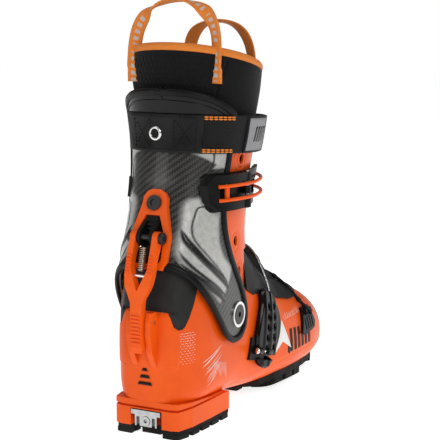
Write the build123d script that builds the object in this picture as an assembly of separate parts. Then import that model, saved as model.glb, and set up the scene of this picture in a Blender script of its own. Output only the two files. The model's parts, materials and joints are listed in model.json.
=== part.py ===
"""Alpine touring boot for the right foot, in millimetres.

Frame: origin on the floor under the middle of the heel tread, +X towards the toe, +Y towards the
inner side of the foot (the buckles are on the outer side, -Y), +Z up. The cuff stands locked at its
forward lean.
"""

from build123d import *
import math
import os

os.makedirs("parts", exist_ok=True)

# ---------------------------------------------------------------- driving sizes
HEEL_REAR = -38.0  # rear end of the sole; the sole is 290 long
TOE_TIP = 252.0
PIVOT_X, PIVOT_Z = 38.0, 94.0  # ankle axis of the cuff, along Y
SHELL_WALL = 4.0
CUFF_WALL = 3.0
GAP = 0.35  # clearance between neighbouring skins
LINER_WALL = 7.0
TREAD = 8.0  # height of the rubber lugs
FAR = 400.0

# One row per cross-section of the foot form: x, half width, bottom, height of the widest point, top.
FOOT_SECTIONS = [
    (-37.5, 18.0, 27.0, 56.0, 82.0),
    (-34.5, 24.5, 24.0, 59.0, 112.0),
    (-27.0, 31.0, 22.5, 62.0, 150.0),
    (-15.0, 37.0, 22.0, 65.0, 178.0),
    (5.0, 42.3, 21.0, 68.0, 190.0),
    (32.0, 43.8, 18.5, 66.0, 190.0),
    (62.0, 45.2, 15.0, 60.0, 172.0),
    (92.0, 48.4, 12.0, 51.0, 143.0),
    (122.0, 52.0, 10.0, 45.0, 121.0),
    (155.0, 54.0, 9.0, 41.0, 105.0),
    (188.0, 53.4, 9.8, 39.0, 93.0),
    (214.0, 49.8, 13.0, 38.0, 82.5),
    (231.0, 43.5, 16.5, 37.5, 72.5),
    (243.0, 34.0, 21.5, 37.5, 61.0),
    (250.0, 21.0, 28.5, 38.0, 49.0),
]

# One row per level of the shaft form: z, rear x, front x, half width, squareness of the outline.
SHAFT_SECTIONS = [
    (64.0, -38.0, 106.0, 47.9, 2.9),
    (95.0, -39.0, 105.0, 47.9, 2.9),
    (125.0, -37.0, 103.0, 47.8, 2.75),
    (150.0, -32.0, 101.5, 47.6, 2.45),
    (175.0, -24.0, 102.0, 47.6, 2.25),
    (200.0, -15.5, 103.0, 48.4, 2.15),
    (225.0, -8.5, 106.5, 50.8, 2.15),
    (250.0, -4.5, 110.0, 54.6, 2.1),
    (275.0, -6.5, 112.5, 58.5, 2.1),
    (293.0, -9.5, 113.5, 61.5, 2.1),
]

# The same for the liner's shaft, which widens above the cuff.
LINER_SECTIONS = [
    (160.0, -21.0, 94.0, 40.5, 2.3),
    (200.0, -8.0, 95.5, 41.5, 2.15),
    (240.0, 0.5, 101.0, 46.0, 2.15),
    (270.0, 2.5, 105.5, 51.0, 2.1),
    (292.0, 0.5, 107.5, 54.5, 2.1),
    (310.0, -0.5, 107.5, 56.5, 2.1),
    (335.0, -1.5, 106.0, 55.5, 2.1),
]


# ---------------------------------------------------------------- shape helpers
def signed_power(value, power):
    return math.copysign(abs(value) ** power, value)


def closed_outline(points):
    """A face inside a smooth closed curve through the points."""
    return Face(Wire([Edge.make_spline([Vector(*p) for p in points], periodic=True)]))


def foot_section(row, grow):
    """A cross-section of the foot form, across X, offset outwards by grow."""
    x, half, bottom, middle, top = row
    centre_x = (HEEL_REAR + TOE_TIP) / 2
    x = centre_x + (x - centre_x) * (1 + grow / 145)
    ankle = min(1.0, max(0.0, (125 - x) / 80))
    upper = 2.3 + 0.6 * ankle
    lower = 2.8 + 1.2 * min(1.0, max(0.0, (50 - x) / 60))
    points = []
    count = 20
    for i in range(count):
        t = 2 * math.pi * i / count - math.pi / 2
        bend = upper if math.sin(t) > 0 else lower
        reach = (top + grow - middle) if math.sin(t) > 0 else (middle - bottom + grow)
        y = (half + grow) * signed_power(math.cos(t), 2 / bend)
        z = middle + reach * signed_power(math.sin(t), 2 / bend)
        points.append((x, y, z))
    return closed_outline(points)


def foot_form(grow):
    return loft([foot_section(row, grow) for row in FOOT_SECTIONS])


def shaft_section(row, grow):
    """A level outline of a shaft form, offset outwards by grow."""
    z, rear, front, half, bend = row
    centre, reach = (rear + front) / 2, (front - rear) / 2
    count = 20
    points = []
    for i in range(count):
        t = 2 * math.pi * i / count
        x = centre + (reach + grow) * signed_power(math.cos(t), 2 / bend)
        y = (half + grow) * signed_power(math.sin(t), 2 / bend)
        points.append((x, y, z))
    return closed_outline(points)


def shaft_form(grow, sections=SHAFT_SECTIONS):
    return loft([shaft_section(row, grow) for row in sections])


def side_prism(points, y_low=-FAR, y_high=FAR):
    """A block whose outline is given in the side view as (x, z) points."""
    outline = Face(Wire.make_polygon([(x, 0, z) for x, z in points]))
    block = extrude(outline, amount=y_high - y_low, dir=(0, 1, 0))
    return Pos(0, y_low, 0) * block


def smooth_blade(curve, corners):
    """A block cut by the side view: a smooth edge through curve, closed by straight lines."""
    smooth = Edge.make_spline([Vector(x, 0, z) for x, z in curve])
    stops = [curve[-1]] + corners + [curve[0]]
    lines = [
        Edge.make_line(Vector(a[0], 0, a[1]), Vector(b[0], 0, b[1]))
        for a, b in zip(stops, stops[1:])
    ]
    block = extrude(Face(Wire([smooth] + lines)), amount=2 * FAR, dir=(0, 1, 0))
    return Pos(0, -FAR, 0) * block


def inset(points, distance):
    """The same open curve moved sideways, to its right, by distance."""
    moved = []
    for i, (x, z) in enumerate(points):
        before, after = points[max(i - 1, 0)], points[min(i + 1, len(points) - 1)]
        dx, dz = after[0] - before[0], after[1] - before[1]
        size = math.hypot(dx, dz)
        moved.append((x + dz / size * distance, z - dx / size * distance))
    return moved


def block(x0, x1, y0, y1, z0, z1):
    return Pos((x0 + x1) / 2, (y0 + y1) / 2, (z0 + z1) / 2) * Box(x1 - x0, y1 - y0, z1 - z0)


def mirrored(shape):
    return shape + mirror(shape, about=Plane.XZ)


def rod(start, end, radius, tip=None):
    """A round bar between two points, tapered when a tip radius is given."""
    start, end = Vector(*start), Vector(*end)
    along = end - start
    plane = Plane(origin=start, z_dir=along)
    bottom = (Align.CENTER, Align.CENTER, Align.MIN)
    if tip is None:
        return plane * Cylinder(radius, along.length, align=bottom)
    return plane * Cone(radius, tip, along.length, align=bottom)


def cross_bar(x, z, radius, y0, y1):
    return rod((x, y0, z), (x, y1, z), radius)


def pivot_disc(radius):
    """A full-width disc about the ankle axis."""
    return cross_bar(PIVOT_X, PIVOT_Z, radius, -FAR, FAR)


def tube_along(points, radius):
    """A round cord or wire along a smooth line."""
    path = Edge.make_spline([Vector(*p) for p in points])
    start = Plane(origin=path @ 0, z_dir=path % 0)
    return sweep(start * Circle(radius), path=path)


def shaft_point(z, angle, grow, sections=SHAFT_SECTIONS):
    """A point on the shaft form: angle 0 is the front, 90 the inner side, 180 the rear."""
    for low, high in zip(sections, sections[1:]):
        if z <= high[0]:
            break
    part = (z - low[0]) / (high[0] - low[0])
    rear, front, half, bend = [a + (b - a) * part for a, b in zip(low[1:], high[1:])]
    t = math.radians(angle)
    x = (rear + front) / 2 + ((front - rear) / 2 + grow) * signed_power(math.cos(t), 2 / bend)
    return (x, (half + grow) * signed_power(math.sin(t), 2 / bend), z)


def foot_point(x, angle, grow):
    """A point on the foot form: angle 0 is the outer side, 90 the top, 180 the inner side."""
    for low, high in zip(FOOT_SECTIONS, FOOT_SECTIONS[1:]):
        if x <= high[0]:
            break
    part = (x - low[0]) / (high[0] - low[0])
    half, bottom, middle, top = [a + (b - a) * part for a, b in zip(low[1:], high[1:])]
    bend = 2.3 + 0.6 * min(1.0, max(0.0, (125 - x) / 80))
    t = math.radians(angle)
    y = -(half + grow) * signed_power(math.cos(t), 2 / bend)
    return (x, y, middle + (top + grow - middle) * signed_power(math.sin(t), 2 / bend))


def ribbon(points, normals, width, thickness):
    """A flat strap along a line of points, its face turned towards each normal."""
    faces = []
    for i, p in enumerate(points):
        before, after = points[max(i - 1, 0)], points[min(i + 1, len(points) - 1)]
        along = Vector(*after) - Vector(*before)
        plane = Plane(origin=p, x_dir=Vector(*normals[i]).cross(along), z_dir=along)
        faces.append(plane * Rectangle(width, thickness))
    return loft([f.face() for f in faces], ruled=True)


def save(name, shape):
    solids = shape.solids()
    export_step(Compound(children=list(solids)) if len(solids) > 1 else solids[0], f"parts/{name}.step")


# ---------------------------------------------------------------- lower shell
shell_outer = foot_form(0)
shell_skin = shell_outer - foot_form(-SHELL_WALL)
toe_floor = block(216, FAR, -FAR, FAR, 0, 31)  # the toe is solid below the toes
shell_skin = shell_skin + (shell_outer & toe_floor)

collar_line = [(-8, 158), (10, 150), (24, 128), (34, 115), (52, 112), (80, 111), (100, 112)]
collar_cut = smooth_blade(collar_line, [(FAR, 112), (FAR, FAR), (-FAR, FAR), (-FAR, 158)])
throat_cut = block(52, 150, -24, 24, 60, FAR)
shell_skin = shell_skin - collar_cut - throat_cut

# Two ears at the rear, with the lever's tail between them.
EAR_GAP, EAR_SIDE = 6.2, 11.5
LOCK_X, LOCK_Z = -42.4, 100.0
ear_side = [(-30, 58), (-39, 61), (-46, 74), (-49.5, 90), (-49, 101), (-46.5, 108.5), (-40, 109)]
ears = mirrored(side_prism(ear_side + [(-35, 99), (-30, 96)], EAR_GAP, EAR_SIDE))
save("heel_ears", ears - shell_outer - cross_bar(LOCK_X, LOCK_Z, 2.0, -FAR, FAR))

# Ankle bolts screw into bosses in the shell wall.
BOLT_R = 5.0
shell_skin = shell_skin - cross_bar(PIVOT_X, PIVOT_Z, BOLT_R, -FAR, FAR)

# Toe and heel binding fittings sit in pockets.
TOE_X, TOE_Z = 231.0, 25.5
toe_pocket = block(TOE_X - 5, TOE_X + 5, -FAR, FAR, TOE_Z - 4.5, TOE_Z + 4.5)
shell_skin = shell_skin - toe_pocket

# The dark panel lies behind the cuff's lower edge, with a squared notch beside each ear.
panel_line = [(-33.6, 107.5), (-33, 95.5), (-31, 93), (-27.5, 93), (-25.5, 95.5)]
panel_line = panel_line + [(-22.7, 101), (-16.7, 114), (-8, 133)]
panel_zone = side_prism([(-FAR, 107.5)] + panel_line + [(2, 160), (2, 200), (-FAR, 200)])
ankle_panel = shell_skin & panel_zone
save("lower_shell", shell_skin - ankle_panel)
save("lock_bar", cross_bar(LOCK_X, LOCK_Z, 2.0, -EAR_SIDE, EAR_SIDE))

# ---------------------------------------------------------------- sole
BLOCK_FRONT = 40.0
heel_plan = [(-38, -24), (-36, -30), (-20, -34.5), (10, -37), (BLOCK_FRONT, -38.5)]


def plan_block(side, z0, z1):
    """A block whose plan is given by its outer edge, the same on both sides."""
    outline = side + [(x, -y) for x, y in reversed(side)]
    return extrude(Pos(0, 0, z0) * make_face(Polyline(*outline, close=True)), amount=z1 - z0)


heel_block = plan_block(heel_plan, TREAD, 44) - foot_form(0)
heel_block = heel_block & side_prism([(-FAR, 0), (FAR, 0), (FAR, 24), (BLOCK_FRONT, 24), (-38, 31)])
groove = plan_block([(x + 2.5, y + 2.5) for x, y in heel_plan], 24.0, 26.0)
ledge = block(-FAR, BLOCK_FRONT, -FAR, FAR, 24.0, 26.0) - groove
heel_block = heel_block - ledge - block(-FAR, -29, -15, 15, 0, 23)
heel_block = max(heel_block.solids(), key=lambda s: s.volume)
save("heel_block", heel_block)

HEEL_PAD = 4.0
heel_tread = plan_block([(x + 1, y + 1) for x, y in heel_plan], TREAD - HEEL_PAD, TREAD)
lug_rows = [(-36.5, -23), (-18.5, -8), (-4, 8), (12, 23.5), (28, 39)]
for x0, x1 in lug_rows:
    for y0, y1 in ((-FAR, -14), (-9, 9), (14, FAR)):
        heel_tread = heel_tread + block(x0, x1, y0, y1, 0, TREAD - HEEL_PAD)
heel_tread = heel_tread - block(-FAR, -29, -15, 15, 0, 23)
heel_tread = heel_tread & plan_block([(x + 0.6, y + 0.6) for x, y in heel_plan], 0, TREAD)
save("heel_tread", heel_tread)

fore_plan = [(104, -37), (122, -44), (150, -48), (180, -47.5), (206, -44), (226, -36), (239, -26)]
fore_form = foot_form(4.5)
fore_tread = (fore_form - shell_outer) & plan_block(fore_plan + [(244, -14)], 0, 34)
lug_form = (foot_form(9.0) - foot_form(4.4)) & block(-FAR, FAR, -FAR, FAR, 0, 26)
lugs = [block(231, 240, -24, 24, 0, 26)]
for x0, x1 in ((106, 118), (124, 136), (142, 154), (160, 172), (178, 190), (196, 208), (214, 226)):
    for y0, y1 in ((-FAR, -19), (-13, 13), (19, FAR)):
        lugs.append(block(x0, x1, y0, y1, 0, 26))
fore_tread = fore_tread + (lug_form & plan_block(fore_plan + [(244, -14)], 0, 34) & Compound(children=lugs))
save("forefoot_tread", fore_tread)

# ---------------------------------------------------------------- binding fittings
heel_insert = block(-38.5, -29.2, -10.5, 10.5, 8.6, 18.4) + block(-38.9, -29.2, -14, 14, 18.4, 22.4)
for side in (-1, 1):
    slot = block(-FAR, -33.5, side * 7.4 - 1.5, side * 7.4 + 1.5, 5, 16.6)
    heel_insert = heel_insert - slot
heel_insert = heel_insert - rod((-60, 0, 13.4), (-29.2, 0, 13.4), 2.5)
heel_insert = heel_insert - rod((-60, 0, 13.4), (-36.2, 0, 13.4), 4.3)
save("heel_insert", heel_insert)
insert_screw = rod((-36.2, 0, 13.4), (-39.0, 0, 13.4), 4.0) + rod((-36.2, 0, 13.4), (-29.3, 0, 13.4), 2.4)
screw_socket = extrude(Plane(origin=(-39.0, 0, 13.4), z_dir=(1, 0, 0)) * RegularPolygon(2.0, 6), amount=1.6)
save("heel_insert_screw", insert_screw - screw_socket)

SOCKET_R, SOCKET_END = 2.6, 35.6
toe_insert = block(TOE_X - 4.9, TOE_X + 4.9, -FAR, FAR, TOE_Z - 4.4, TOE_Z + 4.4) & shell_outer
for side in (-1, 1):
    inner = (TOE_X, side * SOCKET_END, TOE_Z)
    toe_insert = toe_insert - rod((TOE_X, side * 60, TOE_Z), inner, SOCKET_R)
    toe_insert = toe_insert - rod(inner, (TOE_X, side * (SOCKET_END - 2.4), TOE_Z), SOCKET_R, 0.4)
save("toe_insert", toe_insert)

# ---------------------------------------------------------------- inside the shell
SHELL_TOP_R = 78.0  # what stays with the foot keeps inside this radius about the ankle
CUFF_LOW_R = 89.0  # what moves with the cuff keeps outside this one
WALL_IN = -SHELL_WALL - GAP
board_top = [(-40, 33), (60, 27), (120, 21), (216, 21)]
board_zone = side_prism([(-40, 0)] + board_top + [(216, 0)])
foot_inside = foot_form(WALL_IN) - block(215.6, FAR, -FAR, FAR, 0, 31 + GAP)
save("boot_board", foot_inside & board_zone)
board_face = [(x, z + GAP) for x, z in board_top]
over_board = side_prism(board_face + [(217, 31.5), (FAR, 31.5), (FAR, FAR), (-FAR, FAR), (-FAR, 33.4)])
liner_foot = foot_inside & over_board & pivot_disc(SHELL_TOP_R).fuse(block(60, FAR, -FAR, FAR, 0, 125))
liner_hollow = foot_form(WALL_IN - LINER_WALL) & side_prism(
    [(-40, 38)]
    + [(x, z + 5) for x, z in board_top[1:]]
    + [(217, 36.5), (FAR, 36.5), (FAR, FAR), (-40, FAR)]
)
liner_foot = liner_foot - liner_hollow
save("liner_foot", max(liner_foot.solids(), key=lambda s: s.volume))
bed_line = [(x, z + 5.4) for x, z in board_top] + [(x, z + 9) for x, z in reversed(board_top)]
footbed = foot_form(WALL_IN - LINER_WALL - 0.5) & side_prism(bed_line)
save("footbed", max(footbed.solids(), key=lambda s: s.volume))

# ---------------------------------------------------------------- instep cover
# One row per cross-section: x, half width, top.
COVER_SECTIONS = [
    (60, 38, 153),
    (80, 41, 150),
    (100, 42, 146),
    (117, 41, 140),
    (128, 40, 130),
    (140, 40, 118),
    (155, 40, 110.5),
    (172, 38, 103.5),
    (190, 31, 97),
]


def cover_form(grow):
    faces = []
    for x, half, top in COVER_SECTIONS:
        points = []
        for i in range(20):
            t = 2 * math.pi * i / 20 - math.pi / 2
            reach = top - 60 + grow
            y = (half + grow) * signed_power(math.cos(t), 2 / 2.4)
            points.append((x, y, 60 + reach * signed_power(math.sin(t), 2 / 2.4)))
        faces.append(closed_outline(points))
    return loft(faces)


cover_zone = smooth_blade(
    [(59, 112), (75, 103), (95, 97), (125, 90), (150, 85), (170, 84), (191, 90)],
    [(191, FAR), (59, FAR)],
)
instep_cover = (cover_form(0) - cover_form(-2.8) - foot_form(GAP)) & cover_zone
cover_skirt = (foot_form(GAP + 2.2) - foot_form(GAP)) & cover_zone & block(60, 185, -46, 46, 80, FAR)
cover_skirt = cover_skirt - cover_form(-1.4)
instep_cover = instep_cover.fuse(cover_skirt)
instep_cover = max(instep_cover.solids(), key=lambda s: s.volume)
instep_cover = instep_cover - block(-FAR, 64, -FAR, FAR, 0, FAR)
save("instep_cover", max(instep_cover.solids(), key=lambda s: s.volume))


def cover_point(x, angle, grow):
    """A point on the instep cover: angle 0 is the outer side, 90 the top."""
    for low, high in zip(COVER_SECTIONS, COVER_SECTIONS[1:]):
        if x <= high[0]:
            break
    part = (x - low[0]) / (high[0] - low[0])
    half, top = [a + (b - a) * part for a, b in zip(low[1:], high[1:])]
    t = math.radians(angle)
    y = -(half + grow) * signed_power(math.cos(t), 2 / 2.4)
    return (x, y, 60 + (top - 60 + grow) * signed_power(math.sin(t), 2 / 2.4))


# ---------------------------------------------------------------- cuff
shaft_outer = shaft_form(0)
cuff_front = [(24, 268), (26, 252), (24, 236), (20, 210), (17, 188), (18, 166), (24, 149), (33, 134)]
cuff_low = [(43, 119), (50, 105), (53, 92), (50, 81), (42, 74.5), (30, 73.5), (18, 80), (5, 97)]
cuff_rear = [(-11, 120), (-26, 141), (-38, 151), (-52, 154)]
cuff_curve = cuff_front + cuff_low + cuff_rear
cuff_top = [(-FAR, 154), (-FAR, 290), (-22, 289), (-4, 285), (12, 277)]
COLLAR_Z, EDGE_WIDTH = 262.0, 6.0
cuff_skin = (shaft_outer - shaft_form(-CUFF_WALL)) & smooth_blade(cuff_curve, cuff_top)
cuff_skin = cuff_skin - cross_bar(PIVOT_X, PIVOT_Z, BOLT_R + 0.05, -FAR, FAR)
collar_zone = side_prism([(-FAR, COLLAR_Z), (40, COLLAR_Z - 5), (40, FAR), (-FAR, FAR)])
carbon_zone = smooth_blade(inset(cuff_curve, EDGE_WIDTH), [(-FAR, 160), (-FAR, FAR), (18, FAR)])
cuff_collar = cuff_skin & collar_zone
cuff_body = cuff_skin - collar_zone
cuff_carbon = cuff_body & carbon_zone
cuff_edge = cuff_body - carbon_zone
save("cuff_collar", cuff_collar)
save("cuff_edge", cuff_edge)


def clear_of_cuff(shape):
    """What is left of a shell piece once the swinging cuff has its room."""
    swept = smooth_blade(cuff_curve, cuff_top) - shaft_form(-CUFF_WALL - GAP - 0.3)
    for degrees in SWING_STOPS:
        turned = Pos(PIVOT_X, 0, PIVOT_Z) * Rot(0, degrees, 0) * Pos(-PIVOT_X, 0, -PIVOT_Z) * swept
        shape = shape - turned
    return shape


PANEL_TOP = 148.0
SWING_STOPS = (2, 4.5, 7, 9.5, 12, 13)  # degrees forwards from rest
ankle_panel = clear_of_cuff(ankle_panel & block(-FAR, FAR, -FAR, FAR, 0, PANEL_TOP))
save("ankle_panel", max(ankle_panel.solids(), key=lambda s: s.volume))

CUFF_HALF = 47.9
pivot_bolt = rod((PIVOT_X, -40.2, PIVOT_Z), (PIVOT_X, -CUFF_HALF - 0.4, PIVOT_Z), BOLT_R)
pivot_head = rod((PIVOT_X, -CUFF_HALF - 0.35, PIVOT_Z), (PIVOT_X, -CUFF_HALF - 1.9, PIVOT_Z), 8.4)
pivot_bolt = pivot_bolt + pivot_head
bolt_socket = extrude(
    Plane(origin=(PIVOT_X, -CUFF_HALF - 1.9, PIVOT_Z), z_dir=(0, 1, 0)) * RegularPolygon(2.6, 6), amount=1.4
)
save("ankle_bolts", mirrored(pivot_bolt - bolt_socket))
pivot_ring = cross_bar(PIVOT_X, PIVOT_Z, 11.2, -CUFF_HALF - 1.6, -40)
pivot_ring = pivot_ring - cross_bar(PIVOT_X, PIVOT_Z, 8.8, -60, 0)
save("ankle_rings", mirrored(pivot_ring - shaft_outer))

# ---------------------------------------------------------------- tongue
TONGUE_OUT = -CUFF_WALL - GAP
TONGUE_IN = TONGUE_OUT - 2.2
tongue_zone = side_prism([(12, 300), (14, 230), (8, 195), (10, 170), (125, 170), (125, 268), (60, 284)])
tongue_skin = (shaft_form(TONGUE_OUT) - shaft_form(TONGUE_IN)) & tongue_zone
tongue_skin = tongue_skin - pivot_disc(CUFF_LOW_R)
for hole_z, hole_angle in ((226, 62), (174, 100)):
    centre = shaft_point(hole_z, -hole_angle, 0)
    for side in (-1, 1):
        start = (centre[0], side * 20, hole_z)
        tongue_skin = tongue_skin - rod(start, (centre[0], side * 80, hole_z), 4.2)
save("tongue", max(tongue_skin.solids(), key=lambda s: s.volume))

base_zone = side_prism([(22, 160), (26, 140), (38, 120), (56, 114), (125, 128), (125, 170), (22, 170)])
tongue_base = (shaft_form(TONGUE_OUT - 1.0) - shaft_form(TONGUE_IN - 1.0)) & base_zone
tongue_base = (tongue_base & pivot_disc(CUFF_LOW_R - 1.0)) - foot_form(0.3)
tongue_base = tongue_base & (cover_form(-3.2) + block(-FAR, 64, -FAR, FAR, 0, FAR))
tongue_base = clear_of_cuff(tongue_base)
tongue_sides = sorted(tongue_base.solids(), key=lambda s: s.volume)[-2:]
save("tongue_base", Compound(children=tongue_sides))

# ---------------------------------------------------------------- spine hardware
SPINE_TILT = math.atan(0.33)
SPINE_ORIGIN = Vector(-25.9, 0, 169)
SPINE_OUT = Vector(-math.cos(SPINE_TILT), 0, math.sin(SPINE_TILT))
SPINE_UP = Vector(math.sin(SPINE_TILT), 0, math.cos(SPINE_TILT))
spine_plane = Plane(origin=SPINE_ORIGIN, x_dir=(0, -1, 0), z_dir=SPINE_OUT)


def spine_spot(depth, up):
    """Side-view place of a point that far out from the spine and that far up along it."""
    spot = SPINE_ORIGIN + SPINE_OUT * depth + SPINE_UP * up
    return (spot.X, spot.Z)


def spine_plate(points, low, high):
    face = spine_plane * make_face(Polyline(*points, close=True))
    return Pos(*(SPINE_OUT * low)) * extrude(face, amount=high - low, dir=SPINE_OUT)


def both_sides(points):
    return points + [(-u, v) for u, v in reversed(points)]


FRAME_HEIGHT = 3.2
BOLT_UP = 27.0
frame_half = [(4, 38.6), (8.5, 36.2), (11, 32), (11.6, 25), (15.5, 10), (18, 0), (18, -22), (14, -28)]
frame_edge = both_sides(frame_half)
frame_hole = both_sides([(6.5, 17), (11.6, 5), (13.6, -2), (13.6, -20), (11, -23.6)])
spine_frame = spine_plate(frame_edge, -9, FRAME_HEIGHT) - spine_plate(frame_hole, -9, 9) - shaft_outer
bolt_spot = SPINE_ORIGIN + SPINE_UP * BOLT_UP
bolt_start = bolt_spot + SPINE_OUT * 0.4
spine_frame = spine_frame - rod(tuple(bolt_spot - SPINE_OUT * 9), tuple(bolt_spot + SPINE_OUT * 9), 3.0)
spine_bolt = rod(tuple(bolt_start), tuple(bolt_spot + SPINE_OUT * FRAME_HEIGHT), 3.0)
spine_bolt = spine_bolt + rod(
    tuple(bolt_spot + SPINE_OUT * FRAME_HEIGHT), tuple(bolt_spot + SPINE_OUT * (FRAME_HEIGHT + 2.4)), 6.4
)
bolt_recess = rod(
    tuple(bolt_spot + SPINE_OUT * (FRAME_HEIGHT + 1.2)),
    tuple(bolt_spot + SPINE_OUT * (FRAME_HEIGHT + 4)),
    3.0,
)
save("spine_bolt", spine_bolt - bolt_recess)

AXLE_X, AXLE_Z, AXLE_R = -34.0, 169.0, 2.5
CHEEK_IN, CHEEK_OUT = 4.4, 7.5
bracket_edge = both_sides([(4.0, 16.4), (6.0, 13), (10.4, 2), (10.4, -17), (7.5, -21)])
bracket = spine_plate(bracket_edge, -9, 1.8) - shaft_outer
cheek = [spine_spot(0.9, 14), spine_spot(7, 7), spine_spot(11.5, 2), spine_spot(12.4, -3)]
cheek = cheek + [spine_spot(10.5, -7), spine_spot(6, -9), spine_spot(0.9, -14)]
bracket = bracket + mirrored(side_prism(cheek, CHEEK_IN, CHEEK_OUT))
for rib in range(4):
    up = 1.0 + 3.6 * rib
    width = 9.6 - 1.4 * rib
    rib_edge = both_sides([(width, up), (width, up + 1.6)])
    bracket = bracket + spine_plate(rib_edge, 0.9, 3.4)
bracket = bracket - cross_bar(AXLE_X, AXLE_Z, AXLE_R, -20, 20) - shaft_outer
save("lock_bracket", max(bracket.solids(), key=lambda s: s.volume))
axle = cross_bar(AXLE_X, AXLE_Z, AXLE_R, -14, 14)
axle_head = cross_bar(AXLE_X, AXLE_Z, 5.0, 13.3, 16) - cross_bar(AXLE_X, AXLE_Z, 2.2, 15.2, 20)
save("lever_axle", axle + mirrored(axle_head))
spine_frame = spine_frame - mirrored(cross_bar(AXLE_X, AXLE_Z, 5.3, 13.0, 16.4))
save("spine_frame", max(spine_frame.solids(), key=lambda s: s.volume))

# ---------------------------------------------------------------- lock lever
ARM_IN, ARM_OUT, TAIL_HALF = 7.9, 12.9, 5.4
lever_outer = [(-39.4, 169), (-42.5, 160), (-46, 150), (-51, 131), (-53, 112)]
lever_outer = lever_outer + [(-53.3, 95), (-53, 80), (-51.5, 75)]
lever_inner = [(-48, 75), (-46.4, 80), (-46.2, 95), (-46.2, 112), (-44, 131), (-38.6, 150), (-31.5, 164.2)]
lever = side_prism([(-31, 169)] + lever_outer + lever_inner, -ARM_OUT, ARM_OUT)
lever = lever + cross_bar(AXLE_X, AXLE_Z, 5.4, -ARM_OUT, ARM_OUT)


def rear_prism(points):
    """A block whose outline is given in the rear view as (y, z) points, the same on both sides."""
    outline = points + [(-y, z) for y, z in reversed(points)]
    face = Face(Wire.make_polygon([(0, y, z) for y, z in outline]))
    return Pos(-FAR, 0, 0) * extrude(face, amount=2 * FAR, dir=(1, 0, 0))


lever_plan = [(12.9, 180), (12.9, 139), (11.6, 131), (TAIL_HALF, 117), (TAIL_HALF, 80), (4, 74)]
lever = lever & rear_prism(lever_plan)
lever = lever - rear_prism([(ARM_IN, 181), (ARM_IN, 145), (0.5, 127.5)])
wide_part = block(-90, -20, 5.6, 20, 100, 150) + block(-90, -20, -20, -5.6, 100, 150)
wide_part = pivot_disc(CUFF_LOW_R) & wide_part
lever = lever - wide_part - cross_bar(AXLE_X, AXLE_Z, AXLE_R + 0.05, -20, 20)
for rib in range(6):
    z = 141.0 + 2.7 * rib
    x = -48.4 + 0.26 * (z - 141)
    rib_side = [(x + 2, z), (x - 0.9, z), (x - 0.6, z + 1.3), (x + 2, z + 1.3)]
    tooth = side_prism(rib_side, ARM_IN + 0.7, ARM_OUT - 0.7)
    lever = lever + mirrored(tooth)
for rib in range(8):
    z = 83.0 + 3.2 * rib
    lever = lever + side_prism([(-52, z), (-54.3, z), (-54.3, z + 1.5), (-52, z + 1.5)], -4.4, 4.4)
PIN_X, PIN_Z = -44.6, 138.6
lever = lever - cross_bar(PIN_X, PIN_Z, 1.5, -10.5, 10.5)
save("lock_lever", max(lever.solids(), key=lambda s: s.volume))
save("spring_pin", cross_bar(PIN_X, PIN_Z, 1.5, -10.5, 10.5))

SPRING_TOP, SPRING_LOW = Vector(-38.4, 0, 161.8), Vector(-43.5, 0, 142.6)
SPRING_R, SPRING_WIRE = 2.9, 0.5
spring_line = SPRING_TOP - SPRING_LOW
coil = Helix(pitch=1.75, height=spring_line.length, radius=SPRING_R)
coil_start = Plane(origin=coil @ 0, z_dir=coil % 0)
spring = sweep(coil_start * Circle(SPRING_WIRE), path=coil, is_frenet=True)
spring = Plane(origin=SPRING_LOW, z_dir=spring_line) * spring
save("lever_spring", spring)

# ---------------------------------------------------------------- upper buckle
BUCKLE_Z = 203.0
HINGE_X, HINGE_Y = 40.0, -55.2


def shaft_layer(low, high, zone):
    return (shaft_form(high) - shaft_form(low)) & zone


base_outline = [(0, 190), (3, 187), (84, 187), (90, 190), (90, 216), (84, 219), (3, 219), (0, 216)]
base_zone = side_prism(base_outline, -FAR, 0) - block(46, 83, -FAR, 0, 197, 209)
for notch in range(4):
    z = 188.2 + 3.6 * notch + (14.6 if notch > 1 else 0)
    base_zone = base_zone - block(87.6, 92, -FAR, 0, z, z + 1.6)
upper_base = shaft_layer(0.0, 2.6, base_zone) - rod((HINGE_X, HINGE_Y, 180), (HINGE_X, HINGE_Y, 225), 4.2)
upper_base = upper_base + block(HINGE_X - 3, HINGE_X + 3, HINGE_Y, -50.6, 200, 206)
upper_base = upper_base + rod((HINGE_X, HINGE_Y, 200), (HINGE_X, HINGE_Y, 206), 3.4)
upper_base = upper_base - rod((HINGE_X, HINGE_Y, 180), (HINGE_X, HINGE_Y, 220), 1.65)
RIVETS = [(9, 192.2), (9, 213.8)]
rivets = None
for x, z in RIVETS:
    angle = -(90 + math.degrees(math.asin((43.8 - x) / 59.3)))
    spot, inside = shaft_point(z, angle, 2.3), shaft_point(z, angle, -CUFF_WALL)
    stem = rod(inside, spot, 1.5)
    upper_base, cuff_carbon = upper_base - stem, cuff_carbon - stem
    rivets = stem if rivets is None else rivets + stem
save("cuff_carbon", cuff_carbon)
save("upper_buckle_base", upper_base)
save("upper_buckle_rivets", rivets)

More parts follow.
